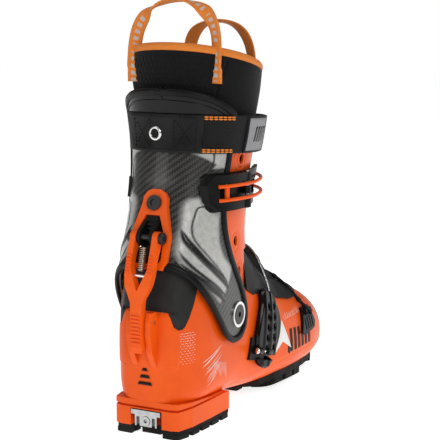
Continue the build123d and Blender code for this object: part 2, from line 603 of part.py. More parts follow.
lever_outline = [(-4, 196), (3, 188), (HINGE_X, 188), (HINGE_X, 218), (3, 218), (-4, 210)]
slot_outline = [(5, 198.5), (8, 195.3), (HINGE_X + 9, 195.3), (HINGE_X + 9, 210.7), (8, 210.7), (5, 207.5)]
upper_lever = shaft_layer(3.0, 8.2, side_prism(lever_outline, -FAR, 0) - side_prism(slot_outline, -FAR, 0))
upper_lever = max(upper_lever.solids(), key=lambda s: s.volume)
for low, high in ((188, 195.3), (210.7, 218)):
    upper_lever = upper_lever + rod((HINGE_X, HINGE_Y, low), (HINGE_X, HINGE_Y, high), 3.6)
hinge_pin = rod((HINGE_X, HINGE_Y, 187), (HINGE_X, HINGE_Y, 219), 1.6)
BAIL_X, BAIL_GROW = 14.0, 5.8
bail_angle = -(90 + math.degrees(math.asin((43.8 - BAIL_X) / (59.3 + BAIL_GROW))))
bail_spot = shaft_point(BUCKLE_Z, bail_angle, BAIL_GROW)
BAIL_Y = bail_spot[1]
bail_pin = rod((bail_spot[0], BAIL_Y, 193), (bail_spot[0], BAIL_Y, 213), 1.2)
upper_lever = upper_lever - hinge_pin - bail_pin
save("upper_buckle_lever", upper_lever)
save("upper_buckle_pins", hinge_pin + bail_pin)

rod_stops = [(-104, 9.6), (-93, 10.6), (-80, 9.6), (-64, 8.2), (-46, 7.4), (-28, 7.0), (-10, 6.8), (8, 6.8)]
bail = rod((bail_spot[0], BAIL_Y, 197.0), (bail_spot[0], BAIL_Y, 209.0), 2.4)
for z in (197.4, 208.6):
    line = [(bail_spot[0], BAIL_Y, z)] + [shaft_point(BUCKLE_Z, a, g)[:2] + (z,) for a, g in rod_stops]
    bail = bail + tube_along(line, 1.5)
tip = shaft_point(BUCKLE_Z, 8, 6.8)
bail = bail + rod(tip[:2] + (196.6,), tip[:2] + (209.4,), 1.6)
bail = bail - rod((bail_spot[0], BAIL_Y, 180), (bail_spot[0], BAIL_Y, 220), 1.25)
save("upper_bail", bail)

catch_zone = block(4, FAR, 9, FAR, 195, 211)
upper_catch = shaft_layer(0.0, 2.4, catch_zone)
for angle in (8, 15, 22, 29, 36, 43):
    foot, crest = shaft_point(BUCKLE_Z, angle, 1.6), shaft_point(BUCKLE_Z, angle, 3.2)
    tooth = rod(foot[:2] + (197,), foot[:2] + (209,), 2.0)
    upper_catch = upper_catch + (tooth & block(0, FAR, 6, FAR, 0, FAR))
save("upper_catch", max((upper_catch - shaft_outer).solids(), key=lambda s: s.volume))

# ---------------------------------------------------------------- lower buckle
LOW_X, LOW_Y, LOW_Z, LOW_TILT = 79.0, -53.6, 52.0, 14.0


def tilted(shape):
    """Turned forwards about the middle of the lower buckle's hinge."""
    return Pos(LOW_X, 0, LOW_Z) * Rot(0, LOW_TILT, 0) * Pos(-LOW_X, 0, -LOW_Z) * shape


def foot_layer(low, high, zone):
    return (foot_form(high) - foot_form(low)) & zone


lower_base = foot_layer(0.0, 2.2, tilted(block(64, 87.6, -FAR, 0, 43, 63)))
lugs = block(70, 73.6, LOW_Y, -46, LOW_Z - 3.4, LOW_Z + 3.4)
lugs = lugs + block(84.4, 88, LOW_Y, -46, LOW_Z - 3.4, LOW_Z + 3.4)
for x0, x1 in ((70, 73.6), (84.4, 88)):
    lugs = lugs + rod((x0, LOW_Y, LOW_Z), (x1, LOW_Y, LOW_Z), 3.4)
lugs = lugs - rod((60, LOW_Y, LOW_Z), (100, LOW_Y, LOW_Z), 1.65)
lower_base = lower_base + (tilted(lugs) - foot_form(1.0))
save("lower_buckle_base", max(lower_base.solids(), key=lambda s: s.volume))

slab = [(-56.4, 55), (-52.2, 101), (-49.6, 104), (-47.6, 100), (-51.4, 57), (-51.4, 52), (-56.6, 50)]
slab_face = Face(Wire.make_polygon([(0, y, z) for y, z in slab]))
slab_block = Pos(LOW_X - 13, 0, 0) * extrude(slab_face, amount=26, dir=(1, 0, 0))
front_view = [(66, 48), (66, 78), (69, 96), (73, 105), (85, 105), (89, 96), (92, 78), (92, 48)]
lower_lever = slab_block & side_prism(front_view, -FAR, 0)
lower_lever = lower_lever - block(69.8, 88.2, -FAR, 0, 40, 59)
for x0, x1 in ((66, 69.8), (88.2, 92)):
    lower_lever = lower_lever + rod((x0, LOW_Y, LOW_Z), (x1, LOW_Y, LOW_Z), 3.6)
for row in range(4):
    for x in (74, 84):
        lower_lever = lower_lever - rod((x, -70, 66 + 8 * row), (x, -40, 66 + 8 * row), 1.8)
lower_pin = rod((65, LOW_Y, LOW_Z), (93, LOW_Y, LOW_Z), 1.6)
lower_lever = lower_lever - lower_pin
save("lower_buckle_lever", tilted(max(lower_lever.solids(), key=lambda s: s.volume)))
save("lower_buckle_pin", tilted(lower_pin))

hook_side = [(160, 50), (166, 47), (190, 50), (193, 56), (186, 72), (168, 72)]
front_hook = foot_layer(0.0, 3.0, side_prism(hook_side, -FAR, 0))
for slot in range(4):
    x = 168 + 5.6 * slot
    slot_side = [(x, 51.5), (x + 2.2, 51.5), (x + 0.6, 63), (x - 1.6, 63)]
    front_hook = front_hook - side_prism(slot_side, -FAR, 0)
hook_lip = side_prism([(169, 66), (186, 66), (184, 71), (170, 71)], -FAR, 0)
front_hook = front_hook + foot_layer(3.0, 5.4, hook_lip)
save("front_hook", front_hook)
cable_guide = foot_layer(0.0, 3.0, side_prism([(112, 50), (152, 50), (148, 66), (116, 66)], 0, FAR))
save("cable_guide", cable_guide)
CABLE_R = 1.1
cable_one = [foot_point(102, 26, 3.6), foot_point(105, 38, 3.8)]
cable_one = cable_one + [cover_point(112, 56, 3.2), cover_point(118, 74, 2.4)]
cable_one = cable_one + [cover_point(121, 92, 2.4), cover_point(124, 118, 2.6), cover_point(126, 140, 4.4)]
cable_one = cable_one + [foot_point(126, 164, 5.2)]
cable_two = [foot_point(138, 164, 5.2), cover_point(141, 138, 4.4), cover_point(145, 116, 2.8)]
cable_two = cable_two + [cover_point(151, 90, 2.6), cover_point(159, 62, 3.2), cover_point(166, 44, 5.0)]
cable_two = cable_two + [foot_point(174, 20, 6.8)]
save("instep_cable", tube_along(cable_one, CABLE_R) + tube_along(cable_two, CABLE_R))

# ---------------------------------------------------------------- liner shaft
RIM_REAR, RIM_DROP = 327.0, 0.25
BAND = 8.0


def rim_zone(low, high):
    """Everything between two planes parallel to the liner's rim, measured down from it."""
    top = [(-FAR, RIM_REAR - high + FAR * RIM_DROP), (FAR, RIM_REAR - high - FAR * RIM_DROP)]
    bottom = [(FAR, RIM_REAR - low - FAR * RIM_DROP), (-FAR, RIM_REAR - low + FAR * RIM_DROP)]
    return side_prism(top + bottom)


liner_outer = shaft_form(0, LINER_SECTIONS)
liner_inner = shaft_form(-LINER_WALL, LINER_SECTIONS)
liner_wall = (liner_outer - liner_inner) & rim_zone(190, 0) - pivot_disc(CUFF_LOW_R)
liner_wall = liner_wall - block(60, FAR, -FAR, FAR, 0, 170)
liner_band = liner_wall & rim_zone(BAND, 0)
liner_shaft = liner_wall - rim_zone(BAND, -50)
save("liner_shaft", max(liner_shaft.solids(), key=lambda s: s.volume))
save("liner_band", liner_band)

LOOP_WIDTH, LOOP_THICK = 11.0, 1.8
rear_ends = (shaft_point(306, 141, 1.2, LINER_SECTIONS), shaft_point(306, -137, 1.2, LINER_SECTIONS))


def pull_loop(first, last, height, out, lean):
    """A webbing loop between two places on the liner wall, rising height above them."""
    points, normals = [], []
    steps = 16
    for i in range(steps + 1):
        t = math.pi * i / steps
        across = (1 - math.cos(t)) / 2
        rise = math.sin(t) ** 0.55 if 0 < i < steps else 0.0
        x = first[0] + (last[0] - first[0]) * across + lean * rise
        y = first[1] + (last[1] - first[1]) * across
        z = first[2] + (last[2] - first[2]) * across + height * rise
        points.append((x, y, z))
        up = math.sin(t) ** 2
        normals.append((out * (1 - up), -math.cos(t) * 0.4 * (1 - up), up))
    return ribbon(points, normals, LOOP_WIDTH, LOOP_THICK)


save("rear_loop", pull_loop(rear_ends[0], rear_ends[1], 56, -1, 6) - liner_outer)
front_ends = (shaft_point(292, -33, 1.2, LINER_SECTIONS), shaft_point(292, 33, 1.2, LINER_SECTIONS))
save("front_loop", pull_loop(front_ends[0], front_ends[1], 52, 1, -6) - liner_outer)

# ---------------------------------------------------------------- power strap
STRAP_LOW, STRAP_HIGH = 236.0, 268.0
strap_slope = 0.06


def strap_zone(x0, x1, side=0, margin=0.0):
    """The strap's band between two places along X; it drops slightly towards the front."""
    y0, y1 = (-FAR, FAR) if side == 0 else ((-FAR, 0) if side < 0 else (0, FAR))
    low, high = STRAP_LOW + margin, STRAP_HIGH - margin
    return side_prism(
        [
            (x0, low - x0 * strap_slope),
            (x1, low - x1 * strap_slope),
            (x1, high - x1 * strap_slope),
            (x0, high - x0 * strap_slope),
        ],
        y0,
        y1,
    )


power_strap = shaft_layer(0.3, 2.3, strap_zone(-60, 160))
save("power_strap", power_strap)
strap_patch = shaft_layer(2.3, 4.0, strap_zone(-60, 1.5, 0, 0.4))
grommet_centre = Vector(*shaft_point(252.0, 175, 4.0))
grommet_out = Vector(-1, 0.06, 0.12).normalized()
hole = rod(tuple(grommet_centre - grommet_out * 1.6), tuple(grommet_centre + grommet_out * 6), 4.0)
strap_patch = strap_patch - hole
save("strap_patch", strap_patch)
grommet = rod(tuple(grommet_centre - grommet_out * 1.2), tuple(grommet_centre + grommet_out * 1.1), 6.2)
eye = rod(tuple(grommet_centre - grommet_out * 4), tuple(grommet_centre + grommet_out * 4), 3.9)
grommet = grommet - eye
grommet = grommet - (shaft_form(4.0) - hole)
save("strap_grommet", max(grommet.solids(), key=lambda s: s.volume))
strap_flap = shaft_layer(2.3, 4.3, strap_zone(36, 160, -1, 0.6) + strap_zone(88, 160, 1, 0.6))
save("strap_flap", strap_flap)
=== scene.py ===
import json
import math

import bmesh
import bpy
import numpy as np
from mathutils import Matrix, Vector


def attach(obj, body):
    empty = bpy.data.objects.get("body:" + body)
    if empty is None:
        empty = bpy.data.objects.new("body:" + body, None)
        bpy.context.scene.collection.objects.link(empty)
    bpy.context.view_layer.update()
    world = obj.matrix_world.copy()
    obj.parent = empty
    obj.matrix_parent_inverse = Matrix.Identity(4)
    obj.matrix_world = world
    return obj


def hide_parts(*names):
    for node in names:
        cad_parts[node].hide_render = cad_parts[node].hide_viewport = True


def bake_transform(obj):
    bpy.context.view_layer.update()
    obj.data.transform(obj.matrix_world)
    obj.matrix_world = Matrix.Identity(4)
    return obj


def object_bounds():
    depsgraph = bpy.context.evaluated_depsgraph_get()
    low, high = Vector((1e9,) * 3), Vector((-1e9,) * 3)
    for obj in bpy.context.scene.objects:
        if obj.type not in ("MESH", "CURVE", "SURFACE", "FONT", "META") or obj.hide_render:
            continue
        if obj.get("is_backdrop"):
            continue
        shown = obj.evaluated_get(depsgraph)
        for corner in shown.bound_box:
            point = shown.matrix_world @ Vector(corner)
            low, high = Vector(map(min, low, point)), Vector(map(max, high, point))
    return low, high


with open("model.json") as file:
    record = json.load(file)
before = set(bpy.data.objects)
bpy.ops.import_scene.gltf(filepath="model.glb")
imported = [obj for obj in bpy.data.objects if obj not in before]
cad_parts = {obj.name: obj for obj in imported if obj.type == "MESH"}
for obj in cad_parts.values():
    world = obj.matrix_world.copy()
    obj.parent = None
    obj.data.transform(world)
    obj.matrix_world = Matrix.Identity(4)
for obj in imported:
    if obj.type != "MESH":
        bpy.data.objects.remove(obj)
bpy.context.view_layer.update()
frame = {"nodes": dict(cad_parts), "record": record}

MM = 0.001
PIVOT = (38.0, 94.0)  # the cuff's ankle bolts, x and z in millimetres


# ---------------------------------------------------------------- camera, light and floor
def aim(obj, direction):
    """Turns a camera or a lamp to look in that direction."""
    obj.rotation_mode = "QUATERNION"
    obj.rotation_quaternion = Vector(direction).to_track_quat("-Z", "Y")


# The camera's place and aim were fitted to the photograph.
CAMERA_YAW, CAMERA_PITCH = math.radians(27.2), math.radians(9.5)
CAMERA_PLACE = (-0.924, -0.525, 0.356)
SENSOR_MM, LENS_MM = 36.0, 104.6454545
cam_data = bpy.data.cameras.new("camera")
cam_data.sensor_width = SENSOR_MM
cam_data.lens = LENS_MM
cam_data.clip_start, cam_data.clip_end = 0.02, 20
camera = bpy.data.objects.new("camera", cam_data)
bpy.context.collection.objects.link(camera)
forward = Vector(
    (
        math.cos(CAMERA_YAW) * math.cos(CAMERA_PITCH),
        math.sin(CAMERA_YAW) * math.cos(CAMERA_PITCH),
        -math.sin(CAMERA_PITCH),
    )
)
camera.location = CAMERA_PLACE
aim(camera, forward)
bpy.context.scene.camera = camera


CENTRE = (0.08, 0.0, 0.17)


def area_light(name, place, size, power):
    """A soft light that looks at the middle of the boot."""
    data = bpy.data.lights.new(name, "AREA")
    data.shape = "RECTANGLE"
    data.size, data.size_y = size
    data.energy = power
    lamp = bpy.data.objects.new(name, data)
    bpy.context.collection.objects.link(lamp)
    lamp.location = place
    aim(lamp, Vector(CENTRE) - Vector(place))


area_light("key", (-1.1, -1.3, 1.3), (0.9, 0.9), 14)
area_light("rear_fill", (-1.5, 0.9, 0.8), (0.7, 1.6), 4)
area_light("front_rim", (1.2, -1.1, 0.7), (0.6, 1.6), 3)
area_light("top", (0.1, 0.1, 1.7), (1.2, 1.2), 4.5)

WHITE = (1.0, 1.0, 1.0, 1.0)
world = bpy.data.worlds.new("studio")
world.use_nodes = True
shade = world.node_tree
backdrop = shade.nodes["Background"]
backdrop.inputs["Color"].default_value = WHITE
backdrop.inputs["Strength"].default_value = 1.0
room = shade.nodes.new("ShaderNodeBackground")
room.inputs["Color"].default_value = WHITE
room.inputs["Strength"].default_value = 0.2
rays = shade.nodes.new("ShaderNodeLightPath")
blend = shade.nodes.new("ShaderNodeMixShader")
shade.links.new(rays.outputs["Is Camera Ray"], blend.inputs[0])
shade.links.new(room.outputs[0], blend.inputs[1])
shade.links.new(backdrop.outputs[0], blend.inputs[2])
shade.links.new(blend.outputs[0], shade.nodes["World Output"].inputs["Surface"])
bpy.context.scene.world = world
bpy.context.scene.view_settings.view_transform = "Standard"

floor_mesh = bpy.data.meshes.new("floor")
floor_mesh.from_pydata([(-6, -6, 0), (6, -6, 0), (6, 6, 0), (-6, 6, 0)], [], [(0, 1, 2, 3)])
floor = bpy.data.objects.new("floor", floor_mesh)
bpy.context.collection.objects.link(floor)
floor_look = bpy.data.materials.new("floor")
floor_look.use_nodes = True
floor_shader = floor_look.node_tree.nodes["Principled BSDF"]
floor_shader.inputs["Base Color"].default_value = (0.8, 0.8, 0.8, 1.0)
floor_shader.inputs["Roughness"].default_value = 0.6
floor_shader.inputs["Specular IOR Level"].default_value = 0.2
floor_shader.inputs["Emission Color"].default_value = WHITE
floor_shader.inputs["Emission Strength"].default_value = 0.83
floor_mesh.materials.append(floor_look)
floor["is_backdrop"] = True


# ---------------------------------------------------------------- forms, in millimetres
# Foot form: x, half width, bottom, height of the widest place, top.
FOOT = np.array(
    [
        (-38.4, 7.0, 36.0, 54.0, 70.0),
        (-37.5, 18.0, 27.0, 56.0, 82.0),
        (-34.5, 24.5, 24.0, 59.0, 112.0),
        (-27.0, 31.0, 22.5, 62.0, 150.0),
        (-15.0, 37.0, 22.0, 65.0, 178.0),
        (5.0, 42.3, 21.0, 68.0, 190.0),
        (32.0, 43.8, 18.5, 66.0, 190.0),
        (62.0, 45.2, 15.0, 60.0, 172.0),
        (92.0, 48.4, 12.0, 51.0, 143.0),
        (122.0, 52.0, 10.0, 45.0, 121.0),
        (155.0, 54.0, 9.0, 41.0, 105.0),
        (188.0, 53.4, 9.8, 39.0, 93.0),
        (214.0, 49.8, 13.0, 38.0, 82.5),
        (231.0, 43.5, 16.5, 37.5, 72.5),
        (243.0, 34.0, 21.5, 37.5, 61.0),
        (250.0, 21.0, 28.5, 38.0, 49.0),
        (251.6, 8.0, 34.0, 38.5, 43.5),
    ]
)
# Upright forms: z, rear, front, half width, squareness.
SHAFT = np.array(
    [
        (64.0, -38.0, 106.0, 47.9, 2.9),
        (95.0, -39.0, 105.0, 47.9, 2.9),
        (125.0, -37.0, 103.0, 47.8, 2.75),
        (150.0, -32.0, 101.5, 47.6, 2.45),
        (175.0, -24.0, 102.0, 47.6, 2.25),
        (200.0, -15.5, 103.0, 48.4, 2.15),
        (225.0, -8.5, 106.5, 50.8, 2.15),
        (250.0, -4.5, 110.0, 54.6, 2.1),
        (275.0, -6.5, 112.5, 58.5, 2.1),
        (293.0, -9.5, 113.5, 61.5, 2.1),
    ]
)
LINER = np.array(
    [
        (160.0, -21.0, 94.0, 40.5, 2.3),
        (200.0, -8.0, 95.5, 41.5, 2.15),
        (240.0, 0.5, 101.0, 46.0, 2.15),
        (270.0, 2.5, 105.5, 51.0, 2.1),
        (292.0, 0.5, 107.5, 54.5, 2.1),
        (310.0, -0.5, 107.5, 56.5, 2.1),
        (335.0, -1.5, 106.0, 55.5, 2.1),
    ]
)
# Instep cover: x, half width, top.
COVER = np.array(
    [
        (60, 38, 153),
        (80, 41, 150),
        (100, 42, 146),
        (117, 41, 140),
        (128, 40, 130),
        (140, 40, 118),
        (155, 40, 110.5),
        (172, 38, 103.5),
        (190, 31, 97),
    ],
    float,
)


def spower(value, power):
    """A power that keeps the sign."""
    return np.sign(value) * np.abs(value) ** power


def smooth_rows(table, at):
    """The table's other columns at those places of its first column, by a monotone cubic."""
    xs, ys = table[:, 0], table[:, 1:]
    at = np.clip(np.asarray(at, float), xs[0], xs[-1])
    h = np.diff(xs)[:, None]
    slope = np.diff(ys, axis=0) / h
    m = np.zeros_like(ys)
    same = slope[:-1] * slope[1:] > 0
    w1, w2 = 2 * h[1:] + h[:-1], h[1:] + 2 * h[:-1]
    with np.errstate(divide="ignore", invalid="ignore"):
        inner = (w1 + w2) / (w1 / slope[:-1] + w2 / slope[1:])
    m[1:-1] = np.where(same, inner, 0)
    m[0], m[-1] = slope[0], slope[-1]
    i = np.clip(np.searchsorted(xs, at, side="right") - 1, 0, len(xs) - 2)
    t = ((at - xs[i]) / (xs[i + 1] - xs[i]))[..., None]
    step = (xs[i + 1] - xs[i])[..., None]
    return (
        (2 * t**3 - 3 * t**2 + 1) * ys[i]
        + (t**3 - 2 * t**2 + t) * step * m[i]
        + (-2 * t**3 + 3 * t**2) * ys[i + 1]
        + (t**3 - t**2) * step * m[i + 1]
    )


def shaft(z, angle, grow=0.0, table=SHAFT):
    """Points on a shaft form. Angle is in degrees: 0 front, 90 inner side, 180 rear, -90 outer side."""
    z, angle = np.broadcast_arrays(np.asarray(z, float), np.asarray(angle, float))
    rear, front, half, bend = np.moveaxis(smooth_rows(table, z), -1, 0)
    t = np.radians(angle)
    x = (rear + front) / 2 + ((front - rear) / 2 + grow) * spower(np.cos(t), 2 / bend)
    y = (half + grow) * spower(np.sin(t), 2 / bend)
    return np.stack([x, y, z], -1)


def shaft_angle(x, z, grow=0.0):
    """The angle, 0 to 180, at which the shaft form has that x."""
    x, z = np.broadcast_arrays(np.asarray(x, float), np.asarray(z, float))
    rear, front, half, bend = np.moveaxis(smooth_rows(SHAFT, z), -1, 0)
    part = (x - (rear + front) / 2) / ((front - rear) / 2 + grow)
    return np.degrees(np.arccos(np.clip(spower(part, bend / 2), -1, 1)))


def foot_bends(x):
    """The foot form's squareness above and below its widest place."""
    return 2.3 + 0.6 * np.clip((125 - x) / 80, 0, 1), 2.8 + 1.2 * np.clip((50 - x) / 60, 0, 1)


def foot(x, angle, grow=0.0):
    """Points on the foot form. Angle is in degrees: 0 outer side, 90 top, 180 inner side, -90 bottom."""
    x, angle = np.broadcast_arrays(np.asarray(x, float), np.asarray(angle, float))
    half, bottom, middle, top = np.moveaxis(smooth_rows(FOOT, x), -1, 0)
    upper, lower = foot_bends(x)
    t = np.radians(angle)
    bend = np.where(np.sin(t) > 0, upper, lower)
    reach = np.where(np.sin(t) > 0, top + grow - middle, middle - bottom + grow)
    y = -(half + grow) * spower(np.cos(t), 2 / bend)
    z = middle + reach * spower(np.sin(t), 2 / bend)
    return np.stack([107 + (x - 107) * (1 + grow / 145), y, z], -1)


def cover(x, angle, grow=0.0):
    """Points on the instep cover. Angle as for the foot form."""
    x, angle = np.broadcast_arrays(np.asarray(x, float), np.asarray(angle, float))
    half, top = np.moveaxis(smooth_rows(COVER, x), -1, 0)
    t = np.radians(angle)
    y = -(half + grow) * spower(np.cos(t), 2 / 2.4)
    z = 60 + (top - 60 + grow) * spower(np.sin(t), 2 / 2.4)
    return np.stack([x, y, z], -1)


# ---------------------------------------------------------------- curves and meshes
def curve_through(points, count, closed=False):
    """A smooth (centripetal Catmull-Rom) line through the points, evenly spaced."""
    p = np.asarray(points, float)
    if closed:
        p = np.vstack([p[-1], p, p[0], p[1]])
    else:
        p = np.vstack([2 * p[0] - p[1], p, 2 * p[-1] - p[-2]])
    fine = []
    for a, b, c, d in zip(p, p[1:], p[2:], p[3:]):
        t0 = 0.0
        t1 = t0 + max(np.linalg.norm(b - a), 1e-6) ** 0.5
        t2 = t1 + max(np.linalg.norm(c - b), 1e-6) ** 0.5
        t3 = t2 + max(np.linalg.norm(d - c), 1e-6) ** 0.5
        t = np.linspace(t1, t2, 24, endpoint=False)[:, None]
        a1 = (t1 - t) / (t1 - t0) * a + (t - t0) / (t1 - t0) * b
        a2 = (t2 - t) / (t2 - t1) * b + (t - t1) / (t2 - t1) * c
        a3 = (t3 - t) / (t3 - t2) * c + (t - t2) / (t3 - t2) * d
        b1 = (t2 - t) / (t2 - t0) * a1 + (t - t0) / (t2 - t0) * a2
        b2 = (t3 - t) / (t3 - t1) * a2 + (t - t1) / (t3 - t1) * a3
        fine.append((t2 - t) / (t2 - t1) * b1 + (t - t1) / (t2 - t1) * b2)
    fine = np.vstack(fine + [p[-2][None]])
    return even(fine, count)


def even(line, count):
    """The line as that many evenly spaced points."""
    line = np.asarray(line, float)
    run = np.concatenate([[0], np.cumsum(np.linalg.norm(np.diff(line, axis=0), axis=1))])
    at = np.linspace(0, run[-1], count)
    return np.stack([np.interp(at, run, line[:, k]) for k in range(line.shape[1])], -1)


def link(obj):
    bpy.context.collection.objects.link(obj)
    return obj


def mesh_object(name, verts, faces, uv=None):
    """A mesh object from points in millimetres; uv holds one pair per point."""
    mesh = bpy.data.meshes.new(name)
    mesh.from_pydata((np.asarray(verts, float) * MM).tolist(), [], faces)
    if uv is not None:
        layer = mesh.uv_layers.new(name="UVMap")
        loops = np.zeros(len(mesh.loops), np.int32)
        mesh.loops.foreach_get("vertex_index", loops)
        layer.data.foreach_set("uv", (np.asarray(uv, float) * MM)[loops].ravel())
    mesh.polygons.foreach_set("use_smooth", [True] * len(mesh.polygons))
    mesh.update()
    return link(bpy.data.objects.new(name, mesh))


def grid_faces(rows, cols, close_rows=False, close_cols=False, base=0, flip=False):
    """Four-sided faces over a grid of points numbered row by row from base."""
    faces = []
    for i in range(rows if close_rows else rows - 1):
        for j in range(cols if close_cols else cols - 1):
            a, b = i * cols + j, i * cols + (j + 1) % cols
            c, d = ((i + 1) % rows) * cols + (j + 1) % cols, ((i + 1) % rows) * cols + j
            faces.append([base + k for k in ((d, c, b, a) if flip else (a, b, c, d))])
    return faces


def run_lengths(grid, axis):
    """Lengths along the rows or columns of a grid of points, from its first."""
    step = np.linalg.norm(np.diff(grid, axis=axis), axis=-1)
    total = np.cumsum(step, axis=axis)
    pad = np.zeros_like(np.take(total, [0], axis=axis))
    return np.concatenate([pad, total], axis=axis)


def lengths_uv(grid):
    """UVs of a grid of points, in real lengths."""
    return np.stack([run_lengths(grid, 1), run_lengths(grid, 0)], -1)


def sheet_mesh(name, grid, close_rows=False, close_cols=False, flip=False, uv=None):
    """A surface from a grid of points, with UVs in real lengths."""
    rows, cols = grid.shape[:2]
    if uv is None:
        uv = lengths_uv(grid)
    faces = grid_faces(rows, cols, close_rows, close_cols, flip=flip)
    return mesh_object(name, grid.reshape(-1, 3), faces, uv.reshape(-1, 2))


def face_out(obj):
    """Turns a surface's faces so that they look away from the middle of the boot."""
    mesh = obj.data
    centres = np.array([p.center for p in mesh.polygons]) / MM
    normals = np.array([p.normal * p.area for p in mesh.polygons])
    middle = centres.mean(0)
    middle = np.array([np.clip(middle[0], 40, 200), 0.0, middle[2]])
    if ((centres - middle) * normals).sum() < 0:
        mesh.flip_normals()
    return obj


def thicken(obj, thickness, offset=-1.0):
    """Gives a surface a wall: inwards, or outwards when offset is 1."""
    face_out(obj)
    solid = obj.modifiers.new("wall", "SOLIDIFY")
    solid.thickness = thickness * MM
    solid.offset = offset
    solid.use_even_offset = True
    solid.use_quality_normals = True
    return obj


def apply_all(obj):
    """Fixes the object's modifiers into its mesh."""
    bpy.context.view_layer.update()
    graph = bpy.context.evaluated_depsgraph_get()
    mesh = bpy.data.meshes.new_from_object(obj.evaluated_get(graph))
    obj.modifiers.clear()
    obj.data = mesh
    return obj


def join(name, objects):
    """One object from several meshes."""
    bm = bmesh.new()
    for obj in objects:
        apply_all(obj)
        bm.from_mesh(obj.data)
    bmesh.ops.recalc_face_normals(bm, faces=bm.faces)
    mesh = bpy.data.meshes.new(name)
    bm.to_mesh(mesh)
    bm.free()
    for obj in objects:
        bpy.data.objects.remove(obj)
    return link(bpy.data.objects.new(name, mesh))


def closed_out(obj):
    """Makes a closed mesh's faces look outwards."""
    bm = bmesh.new()
    bm.from_mesh(obj.data)
    bmesh.ops.remove_doubles(bm, verts=bm.verts, dist=0.004 * MM)
    bmesh.ops.recalc_face_normals(bm, faces=bm.faces)
    bm.to_mesh(obj.data)
    bm.free()
    return obj


def frames_along(line, normals):
    """Along, across and normal directions at each point of a line."""
    along = np.gradient(line, axis=0)
    along /= np.linalg.norm(along, axis=1)[:, None]
    normals = normals - (normals * along).sum(1)[:, None] * along
    normals /= np.linalg.norm(normals, axis=1)[:, None]
    return along, np.cross(along, normals), normals


def swept(name, line, normals, profile, closed=False):
    """A closed profile of (across, out) points carried along a line with given normals."""
    along, across, out = frames_along(line, normals)
    profile = np.asarray(profile, float)
    pts = line[:, None] + across[:, None] * profile[None, :, :1] + out[:, None] * profile[None, :, 1:]
    rows, cols = pts.shape[:2]
    run = run_lengths(line[:, None], 0)[:, 0]
    girth = np.concatenate([[0], np.cumsum(np.linalg.norm(np.diff(profile, axis=0), axis=1))])
    uv = np.stack(np.broadcast_arrays(girth[None, :], run[:, None]), -1)
    faces = grid_faces(rows, cols, close_rows=closed, close_cols=True, flip=True)
    if not closed:
        faces = faces + [list(range(cols)), list(range((rows - 1) * cols, rows * cols))[::-1]]
    return mesh_object(name, pts.reshape(-1, 3), faces, uv.reshape(-1, 2))


def round_profile(radius, count=10):
    """A rod's section."""
    t = np.linspace(0, 2 * np.pi, count, endpoint=False)
    return np.stack([radius * np.cos(t), radius * np.sin(t)], -1)


def band_profile(width, thickness, bulge=0.0, count=8):
    """A flat strap's section: rounded ends, slightly thicker in the middle when bulge is given."""
    half, r = width / 2, thickness * 0.45
    top = [(-half + r + (width - 2 * r) * k / count, thickness / 2) for k in range(count + 1)]
    top = [(u, v + bulge * (1 - (u / half) ** 2)) for u, v in top]
    side = [(half - r * 0.3, thickness / 2 - r * 0.3), (half, 0)]
    right = top + side
    left = [(-u, -v) for u, v in right]
    return right + left


def tube(name, line, radius, normals=None, count=10):
    """A round rod along a line, closed at its ends."""
    line = np.asarray(line, float)
    if normals is None:
        normals = np.tile([0.13, 0.31, 0.94], (len(line), 1))
    return swept(name, line, normals, round_profile(radius, count))


def surface_frame(form, a, b, grow):
    """Points of a form and the normals there, by small steps either way."""
    e = 0.2
    p = form(a, b, grow)
    du = form(np.asarray(a) + e, b, grow) - form(np.asarray(a) - e, b, grow)
    dv = form(a, np.asarray(b) + e, grow) - form(a, np.asarray(b) - e, grow)
    n = np.cross(du, dv)
    size = np.linalg.norm(n, axis=-1)[..., None]
    return p, n / np.maximum(size, 1e-9)


def side_line(points, count, side=-1, grow=0.0):
    """A side-view line laid on the shaft form: its points and outward normals."""
    flat = curve_through(points, count)
    angle = shaft_angle(flat[:, 0], flat[:, 1]) * side
    p, n = surface_frame(shaft, flat[:, 1], angle, grow)
    centre = np.stack([np.full(len(p), 40.0), np.zeros(len(p)), p[:, 2]], -1)
    n *= np.sign(((p - centre) * n).sum(1))[:, None]
    return p, n


